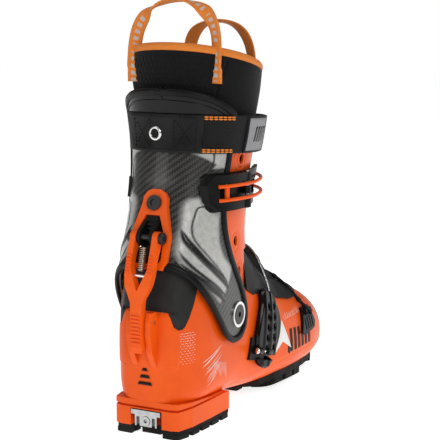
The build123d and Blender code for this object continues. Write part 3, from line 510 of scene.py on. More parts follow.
# ---------------------------------------------------------------- materials
class Finish:
    """A material with a small node tree on its Principled shader."""

    def __init__(self, name, colour, roughness, metallic=0.0, **sockets):
        self.mat = bpy.data.materials.new(name)
        self.mat.use_nodes = True
        self.tree = self.mat.node_tree
        self.shader = self.tree.nodes["Principled BSDF"]
        values = {"Base Color": (*colour, 1.0), "Roughness": roughness, "Metallic": metallic}
        for socket, value in {**values, **sockets}.items():
            self.shader.inputs[socket].default_value = value
        self.coords = self.tree.nodes.new("ShaderNodeTexCoord")

    def node(self, kind, inputs=None, **props):
        node = self.tree.nodes.new("ShaderNode" + kind)
        for key, value in props.items():
            setattr(node, key, value)
        for key, value in (inputs or {}).items():
            self.plug(value, node.inputs[key])
        return node

    def plug(self, value, socket):
        if isinstance(value, bpy.types.NodeSocket):
            self.tree.links.new(value, socket)
        else:
            socket.default_value = value

    def math(self, operation, a, b=0.0):
        return self.node("Math", {0: a, 1: b}, operation=operation).outputs[0]

    def place(self, uv=False, scale=(1, 1, 1), turn=0.0):
        source = self.coords.outputs["UV" if uv else "Object"]
        mapping = self.node("Mapping", {"Vector": source, "Scale": scale, "Rotation": (0, 0, turn)})
        return mapping.outputs[0]

    def noise(self, scale, detail=3.0, rough=0.55, where=None):
        where = where or self.coords.outputs["Object"]
        inputs = {"Vector": where, "Scale": scale, "Detail": detail, "Roughness": rough}
        return self.node("TexNoise", inputs).outputs["Fac"]

    def ramp(self, value, low, high, to_low=0.0, to_high=1.0):
        inputs = {"Value": value, "From Min": low, "From Max": high, "To Min": to_low, "To Max": to_high}
        return self.node("MapRange", inputs).outputs[0]

    def mix(self, factor, a, b):
        node = self.node("Mix", data_type="RGBA")
        for value, socket in ((factor, 0), (a, 6), (b, 7)):
            if isinstance(value, tuple):
                value = (*value, 1.0)
            self.plug(value, node.inputs[socket])
        return node.outputs[2]

    def colour(self, value):
        self.plug(value, self.shader.inputs["Base Color"])
        return self

    def rough(self, value):
        self.plug(value, self.shader.inputs["Roughness"])
        return self

    def bump(self, height, distance, strength=1.0):
        inputs = {"Height": height, "Distance": distance, "Strength": strength}
        node = self.node("Bump", inputs)
        before = self.shader.inputs["Normal"]
        if before.is_linked:
            self.tree.links.new(before.links[0].from_socket, node.inputs["Normal"])
        self.tree.links.new(node.outputs[0], before)
        return self

    def attribute(self, name):
        return self.node("Attribute", attribute_name=name).outputs["Fac"]


def mottled(name, dark, light, rough_low, rough_high, grain, depth, metallic=0.0, patch=30.0, **sockets):
    """Two close tones in broad patches, uneven gloss and a fine surface grain."""
    f = Finish(name, light, rough_high, metallic, **sockets)
    f.colour(f.mix(f.ramp(f.noise(patch, 4), 0.35, 0.65), dark, light))
    f.rough(f.ramp(f.noise(patch * 4, 4), 0.3, 0.7, rough_low, rough_high))
    f.bump(f.noise(grain, 2), depth, 0.6)
    return f


def make_carbon():
    """Clear-coated 2/2 twill with painted shade between its tows, and warp and weft painted as lit and shaded
    tones: satin grey where the panel attribute is 1 (printed panels, with a faint painted reflection at the
    cuff's rear), dark where groove is 1.
    """
    coat = {"Coat Weight": 0.4, "Coat Roughness": 0.08, "Specular IOR Level": 0.25}
    f = Finish("carbon", (0.02, 0.02, 0.021), 0.3, 0.0, **coat)
    tow = 0.0017
    uv = f.node("SeparateXYZ", {0: f.place(uv=True, scale=(1 / tow, 1 / tow, 1), turn=math.radians(8))})
    u, v = uv.outputs[0], uv.outputs[1]
    column, row = f.math("FLOOR", u), f.math("FLOOR", v)
    step = f.math("SUBTRACT", column, row)
    warp = f.math("LESS_THAN", f.node("Math", {0: step, 1: 4.0}, operation="FLOORED_MODULO").outputs[0], 2.0)

    def crown(value):
        part = f.math("FRACT", value)
        return f.math("SINE", f.math("MULTIPLY", part, math.pi))

    across, along = crown(u), crown(v)
    height = f.node("Mix", {0: warp, 2: along, 3: across}, data_type="FLOAT").outputs[0]
    fibre = f.noise(1.0, 2, where=f.place(uv=True, scale=(5200, 300, 1)))
    fibre_v = f.noise(1.0, 2, where=f.place(uv=True, scale=(300, 5200, 1)))
    strand = f.node("Mix", {0: warp, 2: fibre_v, 3: fibre}, data_type="FLOAT").outputs[0]
    # Warp and weft are the same fibre: their two tones are painted light and shade for how light falls on
    # each direction of tow.
    tone = f.mix(warp, (0.005, 0.005, 0.005), (0.052, 0.05, 0.047))
    # Painted shade: darker where each tow's crown falls away into the crevice beside it.
    edge = f.ramp(height, 0.0, 0.55)
    tone = f.mix(edge, (0.004, 0.004, 0.004), tone)
    tone = f.mix(f.ramp(strand, 0.4, 0.7, 0.0, 0.5), tone, (0.075, 0.072, 0.068))
    # The panel attribute holds the printed grey panels and a faint painted reflection at the cuff's rear.
    panel = f.attribute("panel")
    # Painted shade between the tows on the satin grey panels too.
    weave = f.mix(f.ramp(height, 0.0, 0.6), (0.25, 0.25, 0.24), (0.42, 0.42, 0.4))
    weave = f.mix(f.ramp(f.noise(240, 5, 0.7), 0.35, 0.68), weave, (0.52, 0.52, 0.5))
    tone = f.mix(panel, tone, weave)
    groove = f.attribute("groove")
    f.colour(f.mix(groove, tone, (0.004, 0.004, 0.004)))
    f.rough(f.ramp(f.noise(60, 4), 0.3, 0.7, 0.26, 0.36))
    f.bump(height, 0.00012, 0.55)
    f.bump(f.noise(1400, 2), 0.00003, 0.4)
    return f


def make_knit(name, dark, light):
    """Black stretch cloth of fine cross-laid threads."""
    nap = {"Sheen Weight": 0.12, "Sheen Roughness": 0.4, "Specular IOR Level": 0.1}
    f = Finish(name, light, 0.86, 0.0, **nap)
    pitch = 0.0009
    uv = f.node("SeparateXYZ", {0: f.place(uv=True, scale=(math.pi / pitch, math.pi / pitch, 1), turn=0.78)})
    threads = f.math("MULTIPLY", f.math("SINE", uv.outputs[0]), f.math("SINE", uv.outputs[1]))
    fuzz = f.noise(1800, 3)
    shade = f.ramp(f.math("ADD", threads, f.ramp(fuzz, 0.3, 0.7, -0.6, 0.6)), -1.2, 1.2)
    shade = f.math("MULTIPLY", shade, f.ramp(f.noise(45, 3), 0.3, 0.7, 0.75, 1.0))
    f.colour(f.mix(shade, dark, light))
    f.bump(threads, 0.00012, 0.5)
    f.bump(fuzz, 0.0001, 0.4)
    return f


def make_tape(name, dark, light, rib=0.0011, marks=False):
    """Woven tape: ribs across its length, and grey woven marks along its middle if asked."""
    f = Finish(name, light, 0.72, 0.0, **{"Sheen Weight": 0.1, "Specular IOR Level": 0.12})
    uv = f.node("SeparateXYZ", {0: f.coords.outputs["UV"]})
    across, along = f.math("SUBTRACT", uv.outputs[0], 0.005), uv.outputs[1]
    ribs = f.math("SINE", f.math("MULTIPLY", along, 2 * math.pi / rib))
    threads = f.math("SINE", f.math("MULTIPLY", across, 2 * math.pi / (rib * 0.8)))
    weave = f.math("ADD", ribs, f.math("MULTIPLY", threads, 0.5))
    fuzz = f.noise(1500, 3)
    shade = f.ramp(f.math("ADD", weave, f.ramp(fuzz, 0.3, 0.7, -0.7, 0.7)), -1.8, 1.6)
    tone = f.mix(shade, dark, light)
    if marks:
        cell = f.math("FRACT", f.math("MULTIPLY", along, 1 / 0.0058))
        slanted = f.math("ADD", cell, f.math("MULTIPLY", across, 22.0))
        bar = f.math("LESS_THAN", f.math("FRACT", slanted), 0.55)
        run = f.math("FRACT", f.math("MULTIPLY", along, 1 / 0.031))
        inside = f.math("LESS_THAN", f.math("ABSOLUTE", across), 0.0022)
        bar = f.math("MULTIPLY", f.math("MULTIPLY", bar, inside), f.math("LESS_THAN", run, 0.82))
        tone = f.mix(f.math("MULTIPLY", bar, 0.9), tone, (0.5, 0.47, 0.44))
    f.colour(tone)
    f.bump(weave, 0.00012, 0.6)
    f.bump(fuzz, 0.00008, 0.4)
    return f


def make_steel(name, tone, low, high):
    """Machined steel with fine drawn lines."""
    f = Finish(name, tone, high, 1.0)
    lines = f.noise(1.0, 2, where=f.place(scale=(260, 4000, 260)))
    f.rough(f.ramp(lines, 0.25, 0.75, low, high))
    worn = f.ramp(f.noise(160, 4), 0.35, 0.7)
    f.colour(f.mix(worn, tuple(c * 0.78 for c in tone), tone))
    f.bump(lines, 0.00002, 0.5)
    return f


ORANGE_DARK, ORANGE = (0.8, 0.09, 0.004), (0.92, 0.118, 0.006)
GLOSS = {"Coat Weight": 0.12, "Coat Roughness": 0.1, "Specular IOR Level": 0.12}
DULL = {"Specular IOR Level": 0.13}
BLACK = (0.006, 0.006, 0.006)
SOFT_BLACK = (0.016, 0.016, 0.016)
TAPE_DARK, TAPE = (0.6, 0.15, 0.02), (0.82, 0.27, 0.045)
# Dark tone, light tone, lowest and highest roughness, grain per metre, its depth in metres, other settings.
MOTTLED = {
    "orange_plastic": (ORANGE_DARK, ORANGE, 0.3, 0.42, 1500, 0.00003, {"patch": 14, **GLOSS}),
    "dark_plastic": ((0.018, 0.018, 0.018), (0.03, 0.029, 0.028), 0.4, 0.52, 1400, 0.00005, DULL),
    "black_gloss": (
        (0.002, 0.002, 0.002), (0.005, 0.005, 0.005), 0.1, 0.2, 900, 0.00002, {"Specular IOR Level": 0.22},
    ),
    "black_matte": ((0.004, 0.004, 0.004), (0.01, 0.01, 0.01), 0.3, 0.44, 1300, 0.00006, DULL),
    "tread_rubber": (
        (0.007, 0.007, 0.007), (0.018, 0.018, 0.017), 0.55, 0.8, 700, 0.00015, {"Specular IOR Level": 0.12},
    ),
    "cover_rubber": (BLACK, SOFT_BLACK, 0.36, 0.5, 1100, 0.00012, DULL),
    "black_steel": (
        (0.012, 0.012, 0.013), (0.028, 0.028, 0.03), 0.24, 0.4, 900, 0.00003, {"metallic": 0.4},
    ),
    "board": ((0.05, 0.05, 0.05), (0.08, 0.08, 0.08), 0.6, 0.8, 500, 0.0002, {}),
    "strap_patch": (BLACK, SOFT_BLACK, 0.4, 0.55, 420, 0.0003, DULL),
    "white_print": ((0.78, 0.76, 0.73), (0.9, 0.89, 0.87), 0.35, 0.5, 900, 0.00003, {}),
}
# Tone, lowest and highest roughness.
STEELS = {
    "steel": ((0.5, 0.52, 0.52), 0.22, 0.42),
    "bright_steel": ((0.8, 0.8, 0.79), 0.12, 0.26),
    "spring_steel": ((0.55, 0.5, 0.4), 0.2, 0.35),
}
# Dark thread, light thread, other settings.
TAPES = {
    "binding_tape": (TAPE_DARK, TAPE, {}),
    "webbing": (TAPE_DARK, TAPE, {"marks": True}),
    "strap_fabric": ((0.003, 0.003, 0.003), (0.014, 0.014, 0.014), {"rib": 0.0014}),
    "label": ((0.2, 0.2, 0.21), (0.36, 0.36, 0.37), {"rib": 0.0008}),
}
finish = {name: mottled(name, *row[:-1], **row[-1]) for name, row in MOTTLED.items()}
finish |= {name: make_steel(name, *row) for name, row in STEELS.items()}
finish |= {name: make_tape(name, dark, light, **more) for name, (dark, light, more) in TAPES.items()}
finish["carbon"] = make_carbon()
finish["liner_fabric"] = make_knit("liner_fabric", (0.004, 0.004, 0.004), (0.014, 0.013, 0.014))
SLOT_OF = {part["node"]: part["material_slot"] for part in frame["record"]["subparts"]}


def dress(obj, material):
    """Gives an object one material."""
    chosen = finish[material].mat if material in finish else bpy.data.materials[material]
    if obj.type == "MESH" and not obj.data.materials:
        obj.data.materials.append(chosen)
    for place in obj.material_slots:
        place.material = chosen
    return obj


for node_name, node in frame["nodes"].items():
    dress(node, SLOT_OF[node_name])
    node.data.set_sharp_from_angle(angle=math.radians(32))


# ---------------------------------------------------------------- surfaces cut along lines
def side_of(px, pz, polygon):
    """Distance in a plane from each point to a closed line: positive inside."""
    a = np.asarray(polygon, float)
    b = np.roll(a, -1, axis=0)
    p = np.stack([px, pz], -1)
    best = np.full(px.shape, np.inf)
    inside = np.zeros(px.shape, bool)
    for (ax, az), (bx, bz) in zip(a, b):
        run = np.array([bx - ax, bz - az])
        t = np.clip(((p - (ax, az)) @ run) / max(run @ run, 1e-9), 0, 1)
        best = np.minimum(best, np.linalg.norm(p - (ax, az) - t[..., None] * run, axis=-1))
        crosses = (az > pz) != (bz > pz)
        with np.errstate(divide="ignore", invalid="ignore"):
            inside ^= crosses & (px < (bx - ax) * (pz - az) / (bz - az) + ax)
    return np.where(inside, best, -best)


def near_line(px, pz, points, widths, count=40):
    """How far inside a tapering stroke each point is: positive within its half width."""
    line = curve_through(np.column_stack([points, widths]), count)
    p = np.stack([px, pz], -1)
    best = np.full(px.shape, -np.inf)
    for a, b in zip(line, line[1:]):
        run = (b - a)[:2]
        t = np.clip(((p - a[:2]) @ run) / max(run @ run, 1e-9), 0, 1)
        away = np.linalg.norm(p - a[:2] - t[..., None] * run, axis=-1)
        best = np.maximum(best, a[2] + (b[2] - a[2]) * t - away)
    return best


def soft_step(value, low, high):
    """A smooth rise from 0 to 1 as the value goes from low to high."""
    t = np.clip((value - low) / (high - low), 0, 1)
    return t * t * (3 - 2 * t)


def cut_surface(name, grid, keep, uv, values=None, flip=False):
    """The part of a gridded surface where keep is above zero, cut along its zero line."""
    rows, cols = keep.shape
    keep = np.where(np.abs(keep) < 0.06, 0.06, keep)
    keys, order, faces = {}, [], []

    def corner(i, j):
        key = (i, j, i, j)
        if key not in keys:
            keys[key] = len(order)
            order.append((i, j, i, j, 0.0))
        return keys[key]

    def crossing(i, j, k, m):
        if (k, m) < (i, j):
            i, j, k, m = k, m, i, j
        key = (i, j, k, m)
        if key not in keys:
            keys[key] = len(order)
            order.append((i, j, k, m, keep[i, j] / (keep[i, j] - keep[k, m])))
        return keys[key]

    inside = keep > 0
    any_in = inside[:-1, :-1] | inside[1:, :-1] | inside[:-1, 1:] | inside[1:, 1:]
    for i, j in zip(*np.nonzero(any_in)):
        ring = [(i, j), (i, j + 1), (i + 1, j + 1), (i + 1, j)]
        face = []
        for a, b in zip(ring, ring[1:] + ring[:1]):
            if inside[a]:
                face.append(corner(*a))
            if inside[a] != inside[b]:
                face.append(crossing(*a, *b))
        if len(face) > 2:
            faces.append(face[::-1] if flip else face)
    o = np.array(order)
    i, j, k, m = o[:, :4].astype(int).T
    t = o[:, 4:]

    def taken(array):
        array = array.reshape(rows, cols, -1)
        return array[i, j] * (1 - t) + array[k, m] * t

    obj = mesh_object(name, taken(grid), faces, taken(uv))
    for key, array in (values or {}).items():
        attribute = obj.data.attributes.new(key, "FLOAT", "POINT")
        attribute.data.foreach_set("value", taken(array).ravel().astype(np.float32))
    return obj


def walled(obj, thickness, sharp=40):
    """Gives a surface a wall inwards, with crisp rims."""
    thicken(obj, thickness)
    apply_all(obj)
    obj.data.set_sharp_from_angle(angle=math.radians(sharp))
    return obj


def outward(grid):
    """Unit normals of a gridded surface."""
    n = np.cross(np.gradient(grid, axis=0), np.gradient(grid, axis=1))
    return n / np.maximum(np.linalg.norm(n, axis=-1)[..., None], 1e-9)


def outward_from(grid, middle, weights=(1, 1, 1)):
    """Unit normals of a gridded surface, all turned away from a point inside it."""
    n = outward(grid)
    return n * np.sign((n * (grid - np.array(middle)) * np.array(weights)).sum(-1))[..., None]


def by_arc(form, levels, reach, step, rear):
    """Rows of points on a form at equal arc distances either side of its rear (or bottom) line."""
    count = int(reach / step)
    at = np.arange(-count, count + 1) * step
    t = np.linspace(0, 180, 1441)
    rows = []
    for level in levels:
        half = form(level, rear + t)
        other = form(level, rear - t)
        run = run_lengths(half[:, None], 0)[:, 0]
        left = np.stack([np.interp(at[at >= 0], run, half[:, k]) for k in range(3)], -1)
        right = np.stack([np.interp(-at[at < 0], run, other[:, k]) for k in range(3)], -1)
        rows.append(np.vstack([right, left]))
    return np.array(rows), at


# ---------------------------------------------------------------- cuff
# Its outline seen from the side, as (x, z): from the rear to the pivot, up the front, back over the top.
RISE = [
    (-60, 154), (-52, 154), (-38, 151), (-26, 141), (-11, 120),
    (5, 97), (18, 80), (30, 73.5), (42, 74.5), (50, 81),
]
FRONT = [
    (50, 81), (53, 92), (50, 105), (43, 119), (33, 134), (24, 149),
    (18, 166), (17, 188), (20, 210), (24, 236), (26, 252), (24, 268),
]
TOP = [(24, 268), (12, 277), (-4, 285), (-22, 289), (-60, 290)]
rise, front_edge, top_edge = curve_through(RISE, 120), curve_through(FRONT, 160), curve_through(TOP, 60)
CUFF_SIDE = np.vstack([rise, front_edge[1:], top_edge[1:]])

levels = np.linspace(70, 292, 223)
cuff_grid, cuff_arc = by_arc(shaft, levels, 152, 1.0, 180)
cx, cz = cuff_grid[..., 0], cuff_grid[..., 2]
cuff_uv = np.stack(np.broadcast_arrays(cuff_arc[None, :], levels[:, None] * 1.03), -1)

GREY = [
    (-12.5, 194), (-9, 199), (0, 200.5), (15, 200), (15, 190), (11.5, 176), (10.5, 160), (15, 149),
    (26, 137.5), (24, 129), (15, 117), (7, 110), (0, 116), (-10, 127), (-20, 139), (-26.5, 152),
    (-24.5, 163), (-18.5, 177),
]
UPPER_GREY = [(-2, 237), (12, 226), (9, 222.5), (23.5, 222.5), (25, 236), (25, 250), (-4, 250)]
# A faint painted reflection: a soft grey sheen at 0.3 on the cuff's rear, where the glossy twill mirrors a
# soft light.
REAR_PAINTED_REFLECTION = [(-40, 262), (-40, 196), (-17, 196), (-8, 212), (-5, 262)]
grey = soft_step(side_of(cx, cz, curve_through(GREY, 120, True)), -1.5, 3.5)
grey = np.maximum(grey, soft_step(side_of(cx, cz, UPPER_GREY), -0.6, 1.2))
# The painted reflection joins the printed grey panels in one mask.
grey = np.maximum(grey, 0.3 * soft_step(side_of(cx, cz, REAR_PAINTED_REFLECTION), 0, 9))

# Raised strokes and fine lines on the cuff, each a tapering line with its half widths.
LONG_BAR = [(-17.9, 175), (-17.8, 166), (-15.3, 159), (-9.3, 149.5), (1, 138.7), (11.5, 129.4), (20, 121)]
LOW_BAR = [(-27.5, 150), (-24.5, 143.5), (-17, 135), (-6, 126.3), (5, 118.3), (14, 110.5)]
THIN_BAR = [(-23.5, 158), (-22.5, 151), (-18, 142.8), (-8.1, 133), (4, 124), (16, 114)]
PANEL_LINE = [
    (15, 190.3), (-3.8, 191.8), (-7.9, 185.5), (-12.2, 175), (-13, 168.4),
    (-11.2, 162), (-4.2, 151.5), (8.3, 137.5), (18, 127),
]
UPPER_LINE = [(11.3, 240), (10.5, 229), (7.4, 222.6), (2.1, 212), (-1, 205)]
bars = np.maximum(
    near_line(cx, cz, LONG_BAR, [0.2, 2.1, 2.8, 2.9, 2.9, 2.6, 1.6]),
    near_line(cx, cz, LOW_BAR, [0.2, 1.8, 2.5, 2.7, 2.5, 1.5]),
)
thin = near_line(cx, cz, THIN_BAR, [0.1, 1.0, 1.2, 1.3, 1.3, 0.9])
lines = np.maximum(
    near_line(cx, cz, PANEL_LINE, [0.7] * len(PANEL_LINE), 70),
    near_line(cx, cz, UPPER_LINE, [0.6] * len(UPPER_LINE), 30),
)
grey = grey * (1 - soft_step(np.maximum(bars, thin), -0.5, 0.5))
groove = np.maximum(soft_step(lines, -0.4, 0.4), 0.85 * soft_step(np.maximum(bars, thin), -0.3, 0.5))
relief = 0.95 * soft_step(bars, -0.3, 1.2) + 0.4 * soft_step(thin, -0.2, 0.9)
relief -= 0.55 * soft_step(lines, -0.3, 0.5)
cuff_out = outward(cuff_grid)
cuff_out = cuff_out * np.sign((cuff_out[110, 0] * (cuff_grid[110, 0] - [36, 0, 180])).sum())
shaped = cuff_grid + cuff_out * relief[..., None]
values = {"panel": grey, "groove": groove}
cuff = cut_surface("cuff_shell", shaped, side_of(cx, cz, CUFF_SIDE), cuff_uv, values)


def worn_as(obj, material, body, *nodes):
    """The usual last steps for a piece: its finish, its body and the CAD nodes that it stands for."""
    closed_out(obj)
    dress(obj, material)
    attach(obj, body)
    if nodes:
        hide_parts(*nodes)
    return obj


walled(cuff, 3.0)
worn_as(cuff, "carbon", "cuff", "cuff_carbon")

# ---------------------------------------------------------------- cuff edging
def mirrored(line):
    """The same line on the boot's other side."""
    return line * np.array([1, -1, 1])


rise_side = rise[np.argmin(np.abs(rise[:, 0] + 36.2)) :]
outline = np.vstack([rise_side, front_edge[1:], top_edge[1:][top_edge[1:, 0] > -17]])
half_line, half_normals = side_line(outline, 260, side=-1, grow=0.35)
inner_line, inner_normals = mirrored(half_line), mirrored(half_normals)


def across_rear(first):
    """Points on the shaft form that carry an edge line round the rear centre, from one side's last point."""
    a0, count = 180 - float(shaft_angle(first[0], first[2])), 26
    if a0 < 0.5:
        a0, count = 0.5, 3
    a = np.linspace(-a0, a0, count)[1:-1]
    z = first[2] + (1 - (a / a0) ** 2) * 0.8
    p, n = surface_frame(shaft, z, 180 - a, 0.35)
    n *= np.sign(((p - [40, 0, 0]) * n * [1, 1, 0]).sum(1))[:, None]
    return p, n


low_p, low_n = across_rear(half_line[0])
high_p, high_n = across_rear(half_line[-1])
if low_p[0, 1] * inner_line[0, 1] < 0:
    low_p, low_n, high_p, high_n = low_p[::-1], low_n[::-1], high_p[::-1], high_n[::-1]
loop_line = np.vstack([half_line[::-1], low_p[::-1], inner_line, high_p])
loop_normal = np.vstack([half_normals[::-1], low_n[::-1], inner_normals, high_n])
trim = swept("cuff_trim", loop_line, loop_normal, band_profile(6.0, 2.6, 0.45, count=4), closed=True)
worn_as(trim, "black_matte", "cuff", "cuff_edge")


# ---------------------------------------------------------------- cuff collar
collar_levels = np.linspace(259, 291, 33)


def on_collar(z, angle):
    """The collar lies just off the cuff."""
    return shaft(z, angle, 0.25)


collar_grid, collar_arc = by_arc(on_collar, collar_levels, 96, 1.5, 180)
hx, hz = collar_grid[..., 0], collar_grid[..., 2]
top_line = np.vstack([front_edge[-24:], top_edge[1:]])
COLLAR_SIDE = np.vstack([[(-60, 290)], [(-60, 240)], [(top_line[0, 0], 240)], top_line])
collar = cut_surface(
    "cuff_collar_band",
    collar_grid,
    side_of(hx, hz, COLLAR_SIDE),
    np.stack(np.broadcast_arrays(collar_arc[None, :], collar_levels[:, None]), -1),
)
walled(collar, 3.4)
bead_side = top_edge[top_edge[:, 0] > -19]


def round_the_rear(line, normals):
    """A line on the outer side carried round the rear and on along the inner side."""
    rear_p, rear_n = across_rear(line[-1])
    if rear_p[0, 1] > 0:
        rear_p, rear_n = rear_p[::-1], rear_n[::-1]
    whole = np.vstack([line, rear_p, mirrored(line)[::-1]])
    return whole, np.vstack([normals, rear_n, mirrored(normals)[::-1]])


bead_line, bead_normals = round_the_rear(*side_line(bead_side, 60, grow=0.2))
bead_line = bead_line - bead_normals * 1.4 + [0, 0, -0.4]
bead = swept("cuff_collar_bead", bead_line, bead_normals, round_profile(2.5, 14))
WELT_DROP = 6.5
welt_side = [(x, z - WELT_DROP) for x, z in bead_side]
welt = swept("cuff_collar_welt", *round_the_rear(*side_line(welt_side, 60, grow=0.5)), round_profile(0.6, 8))
collar = join("cuff_collar_lip", [collar, bead, welt])
collar.data.set_sharp_from_angle(angle=math.radians(45))
worn_as(collar, "black_gloss", "cuff", "cuff_collar")

# ---------------------------------------------------------------- liner
RIM_REAR, RIM_DROP, BAND, LINER_WALL = 327.0, 0.25, 8.0, 7.0
around = np.linspace(-180, 180, 541)


def rim_height(x):
    """Height of the liner's rim, which slopes down to the front."""
    return RIM_REAR - RIM_DROP * x


def liner_row(z, grow):
    return shaft(np.broadcast_to(z, around.shape), around, grow, table=LINER)


def on_rim(depth, grow):
    """A ring on the liner form, a given distance below the sloping rim."""
    z = np.full(around.shape, 320.0)
    for _ in range(6):
        z = rim_height(liner_row(z, grow)[:, 0]) - depth
    return liner_row(z, grow)


def liner_seams(x, y, z):
    """Height of the sewn detail on the liner wall, in millimetres: a seam, and hexagons behind it."""
    angle = np.degrees(np.arctan2(y / 52, (x - 50) / 55))
    turn = np.abs(np.abs(angle) - 180)
    depth = rim_height(x) - z
    seam_turn = 62 - 0.32 * depth
    panel = soft_step(seam_turn - turn, -1.2, 1.2) * soft_step(depth, 10, 13)
    seam = np.exp(-(((seam_turn - turn) * 0.9) ** 2) / 1.6) * soft_step(depth, 9, 12)
    run, size = np.abs(angle) * 0.95, 5.2
    row = np.floor(depth / size)
    slip = (run + (row % 2) * size / 2) % size - size / 2
    rise = depth % size - size / 2
    hexagon = np.maximum(np.abs(slip), np.abs(slip) * 0.5 + np.abs(rise) * 0.95)
    quilt = soft_step(-hexagon, -2.55, -1.6)
    puff = 0.55 * quilt * panel + 0.6 * np.sin(np.clip(depth / 60, 0, 1) * np.pi) ** 0.6
    return -1.1 * seam + puff


depths = np.concatenate([np.linspace(BAND - 1, 70, 84), np.linspace(74, 150, 20)])
outer_grid = np.array([on_rim(d, 0.0) for d in depths])
ridge = liner_seams(*np.moveaxis(outer_grid, -1, 0))
radial = outer_grid - [50, 0, 0]
radial[..., 2] = 0
radial /= np.linalg.norm(radial, axis=-1)[..., None]
outer_grid = outer_grid + radial * ridge[..., None]
inner_depths = np.concatenate([np.linspace(3, 60, 12), np.linspace(75, 165, 8)])
inner_rows = [on_rim(d, -LINER_WALL) for d in inner_depths]
SOCK_FLOOR, SOCK_WALL = 44.0, 5.0
last = inner_rows[-1]
neck = []
for k in np.linspace(0.15, 1, 8):
    goal = np.stack([24 + 38 * np.cos(np.radians(around)), 23 * np.sin(np.radians(around))], -1)
    z = last[:, 2] * (1 - k) + SOCK_FLOOR * k
    flat = last[:, :2] * (1 - k) + goal * k
    neck.append(np.column_stack([flat - [3 * math.sin(k * math.pi), 0], z]))
sock = []
for k, inner_ring in enumerate(neck):
    away = inner_ring - [30, 0, 0]
    away[:, 2] = 0
    away /= np.maximum(np.linalg.norm(away, axis=1), 1e-6)[:, None]
    sock.append(inner_ring + away * SOCK_WALL)
sock_low = outer_grid[-1] * 0.55 + sock[0] * 0.45
floor_in = neck[-1] * 0.02 + np.array([24.0, 0, SOCK_FLOOR]) * 0.98
floor_out = floor_in - [0, 0, SOCK_WALL]
lower = [floor_out, sock[-1] - [0, 0, SOCK_WALL]] + sock[::-1] + [sock_low]
grid = np.array(lower + list(outer_grid[::-1]) + inner_rows + neck + [floor_in])
liner_uv = np.stack([np.broadcast_to(around / 360 * 330, grid.shape[:2]), run_lengths(grid, 0)], -1)
liner = sheet_mesh("liner_cuff", grid, uv=liner_uv)
closed_out(liner)
dress(liner, "liner_fabric")
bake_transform(liner)
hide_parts("liner_shaft")

band_rows = []
for turn in np.linspace(-0.62, 1.0, 22):
    a = turn * math.pi
    grow = -LINER_WALL / 2 + (LINER_WALL / 2 + 0.7) * math.cos(a * 0.5 if turn < 0 else a)
    depth = 4.2 - 4.4 * math.sin(max(a, 0)) if turn >= 0 else 4.2 - a * 2.4
    band_rows.append(on_rim(depth, grow))
tape = sheet_mesh("liner_rim_tape", np.array(band_rows))
thicken(tape, 0.7)
apply_all(tape)
worn_as(tape, "binding_tape", "cuff", "liner_band")


def stitches(name, line, normals, length=3.2, gap=1.4, radius=0.42, sink=0.1):
    """A run of thread stitches laid on a line."""
    run = run_lengths(line[:, None], 0)[:, 0]
    count = int(run[-1] / (length + gap))
    verts, faces = [], []
    steps, ring = 5, 6
    t = np.linspace(0, 2 * np.pi, ring, endpoint=False)
    lifted = np.sin(np.linspace(0, math.pi, steps))
    for k in range(count):
        s0 = k * (length + gap)
        at = np.linspace(s0, s0 + length, steps)
        p = np.stack([np.interp(at, run, line[:, c]) for c in range(3)], -1)
        n = np.stack([np.interp(at, run, normals[:, c]) for c in range(3)], -1)
        _, across, out = frames_along(p, n)
        arch = lifted * radius * 0.8 - sink
        thick = radius * (0.55 + 0.45 * lifted)
        base = len(verts)
        for i in range(steps):
            for angle in t:
                spoke = across[i] * math.cos(angle) + out[i] * math.sin(angle)
                verts.append(p[i] + out[i] * arch[i] + thick[i] * spoke)
        faces += grid_faces(steps, ring, close_cols=True, base=base, flip=True)
        last_ring = base + (steps - 1) * ring
        faces += [[base + c for c in range(ring)], [last_ring + c for c in reversed(range(ring))]]
    return mesh_object(name, verts, faces)


# ---------------------------------------------------------------- webbing loops
LOOP_WIDTH, LOOP_THICK = 11.5, 1.7


def pull_loop(name, first, last, height, out, lean, node):
    """A webbing loop sewn to the liner at both ends, as a flat strap with a fold at each end."""
    steps = 90
    t = np.linspace(0, math.pi, steps)
    across = (1 - np.cos(t)) / 2
    rise = np.sin(t) ** 0.55
    first, last = np.array(first), np.array(last)
    line = first + (last - first) * across[:, None]
    line[:, 0] += lean * rise + 1.6 * np.sin(2 * t) * rise
    line[:, 2] += height * rise
    down = np.array([(0, 0, -1.0)])
    head = first + down * np.linspace(13, 1.5, 7)[:, None]
    tail = last + down * np.linspace(1.5, 13, 7)[:, None]
    up = np.sin(t) ** 2
    normal = np.stack([out * (1 - up) + 0.25 * np.sin(t * 1.5), -np.cos(t) * 0.5 * (1 - up), up], -1)
    wall = np.array([out, 0.0, 0.0])
    line = np.vstack([head, line, tail])
    at_head, at_tail = (np.tile(normal[k] * 0.3 + wall, (7, 1)) for k in (0, -1))
    normals = np.vstack([at_head, normal, at_tail])
    line = even(np.hstack([line, normals]), 130)
    loop = swept(name, line[:, :3], line[:, 3:], band_profile(LOOP_WIDTH, LOOP_THICK, 0.15, count=8))
    return worn_as(loop, "webbing", "cuff", node)


def on_liner(z, angle):
    """A place just off the liner form."""
    return shaft(z, angle, 1.2, table=LINER)


pull_loop("rear_pull_loop", on_liner(306, 141), on_liner(306, -137), 55, -1, 6, "rear_loop")
pull_loop("front_pull_loop", on_liner(292, -33), on_liner(292, 33), 51, 1, -6, "front_loop")


# ---------------------------------------------------------------- power strap
STRAP_LOW, STRAP_HIGH, STRAP_SLOPE = 236.0, 268.0, 0.06
ring = np.linspace(-180, 180, 361)


def strap_grid(edges, angles, grow):
    """A grid on the cuff form between fractions of the strap's height; grow may vary over it."""
    rows = []
    for k, edge in enumerate(edges):
        z = np.full(angles.shape, STRAP_LOW + (STRAP_HIGH - STRAP_LOW) * edge)
        base = z.copy()
        for _ in range(3):
            z = base - STRAP_SLOPE * shaft(z, angles, 2.0)[:, 0]
        rows.append(shaft(z, angles, grow if np.isscalar(grow) else grow[k]))
    return np.array(rows)


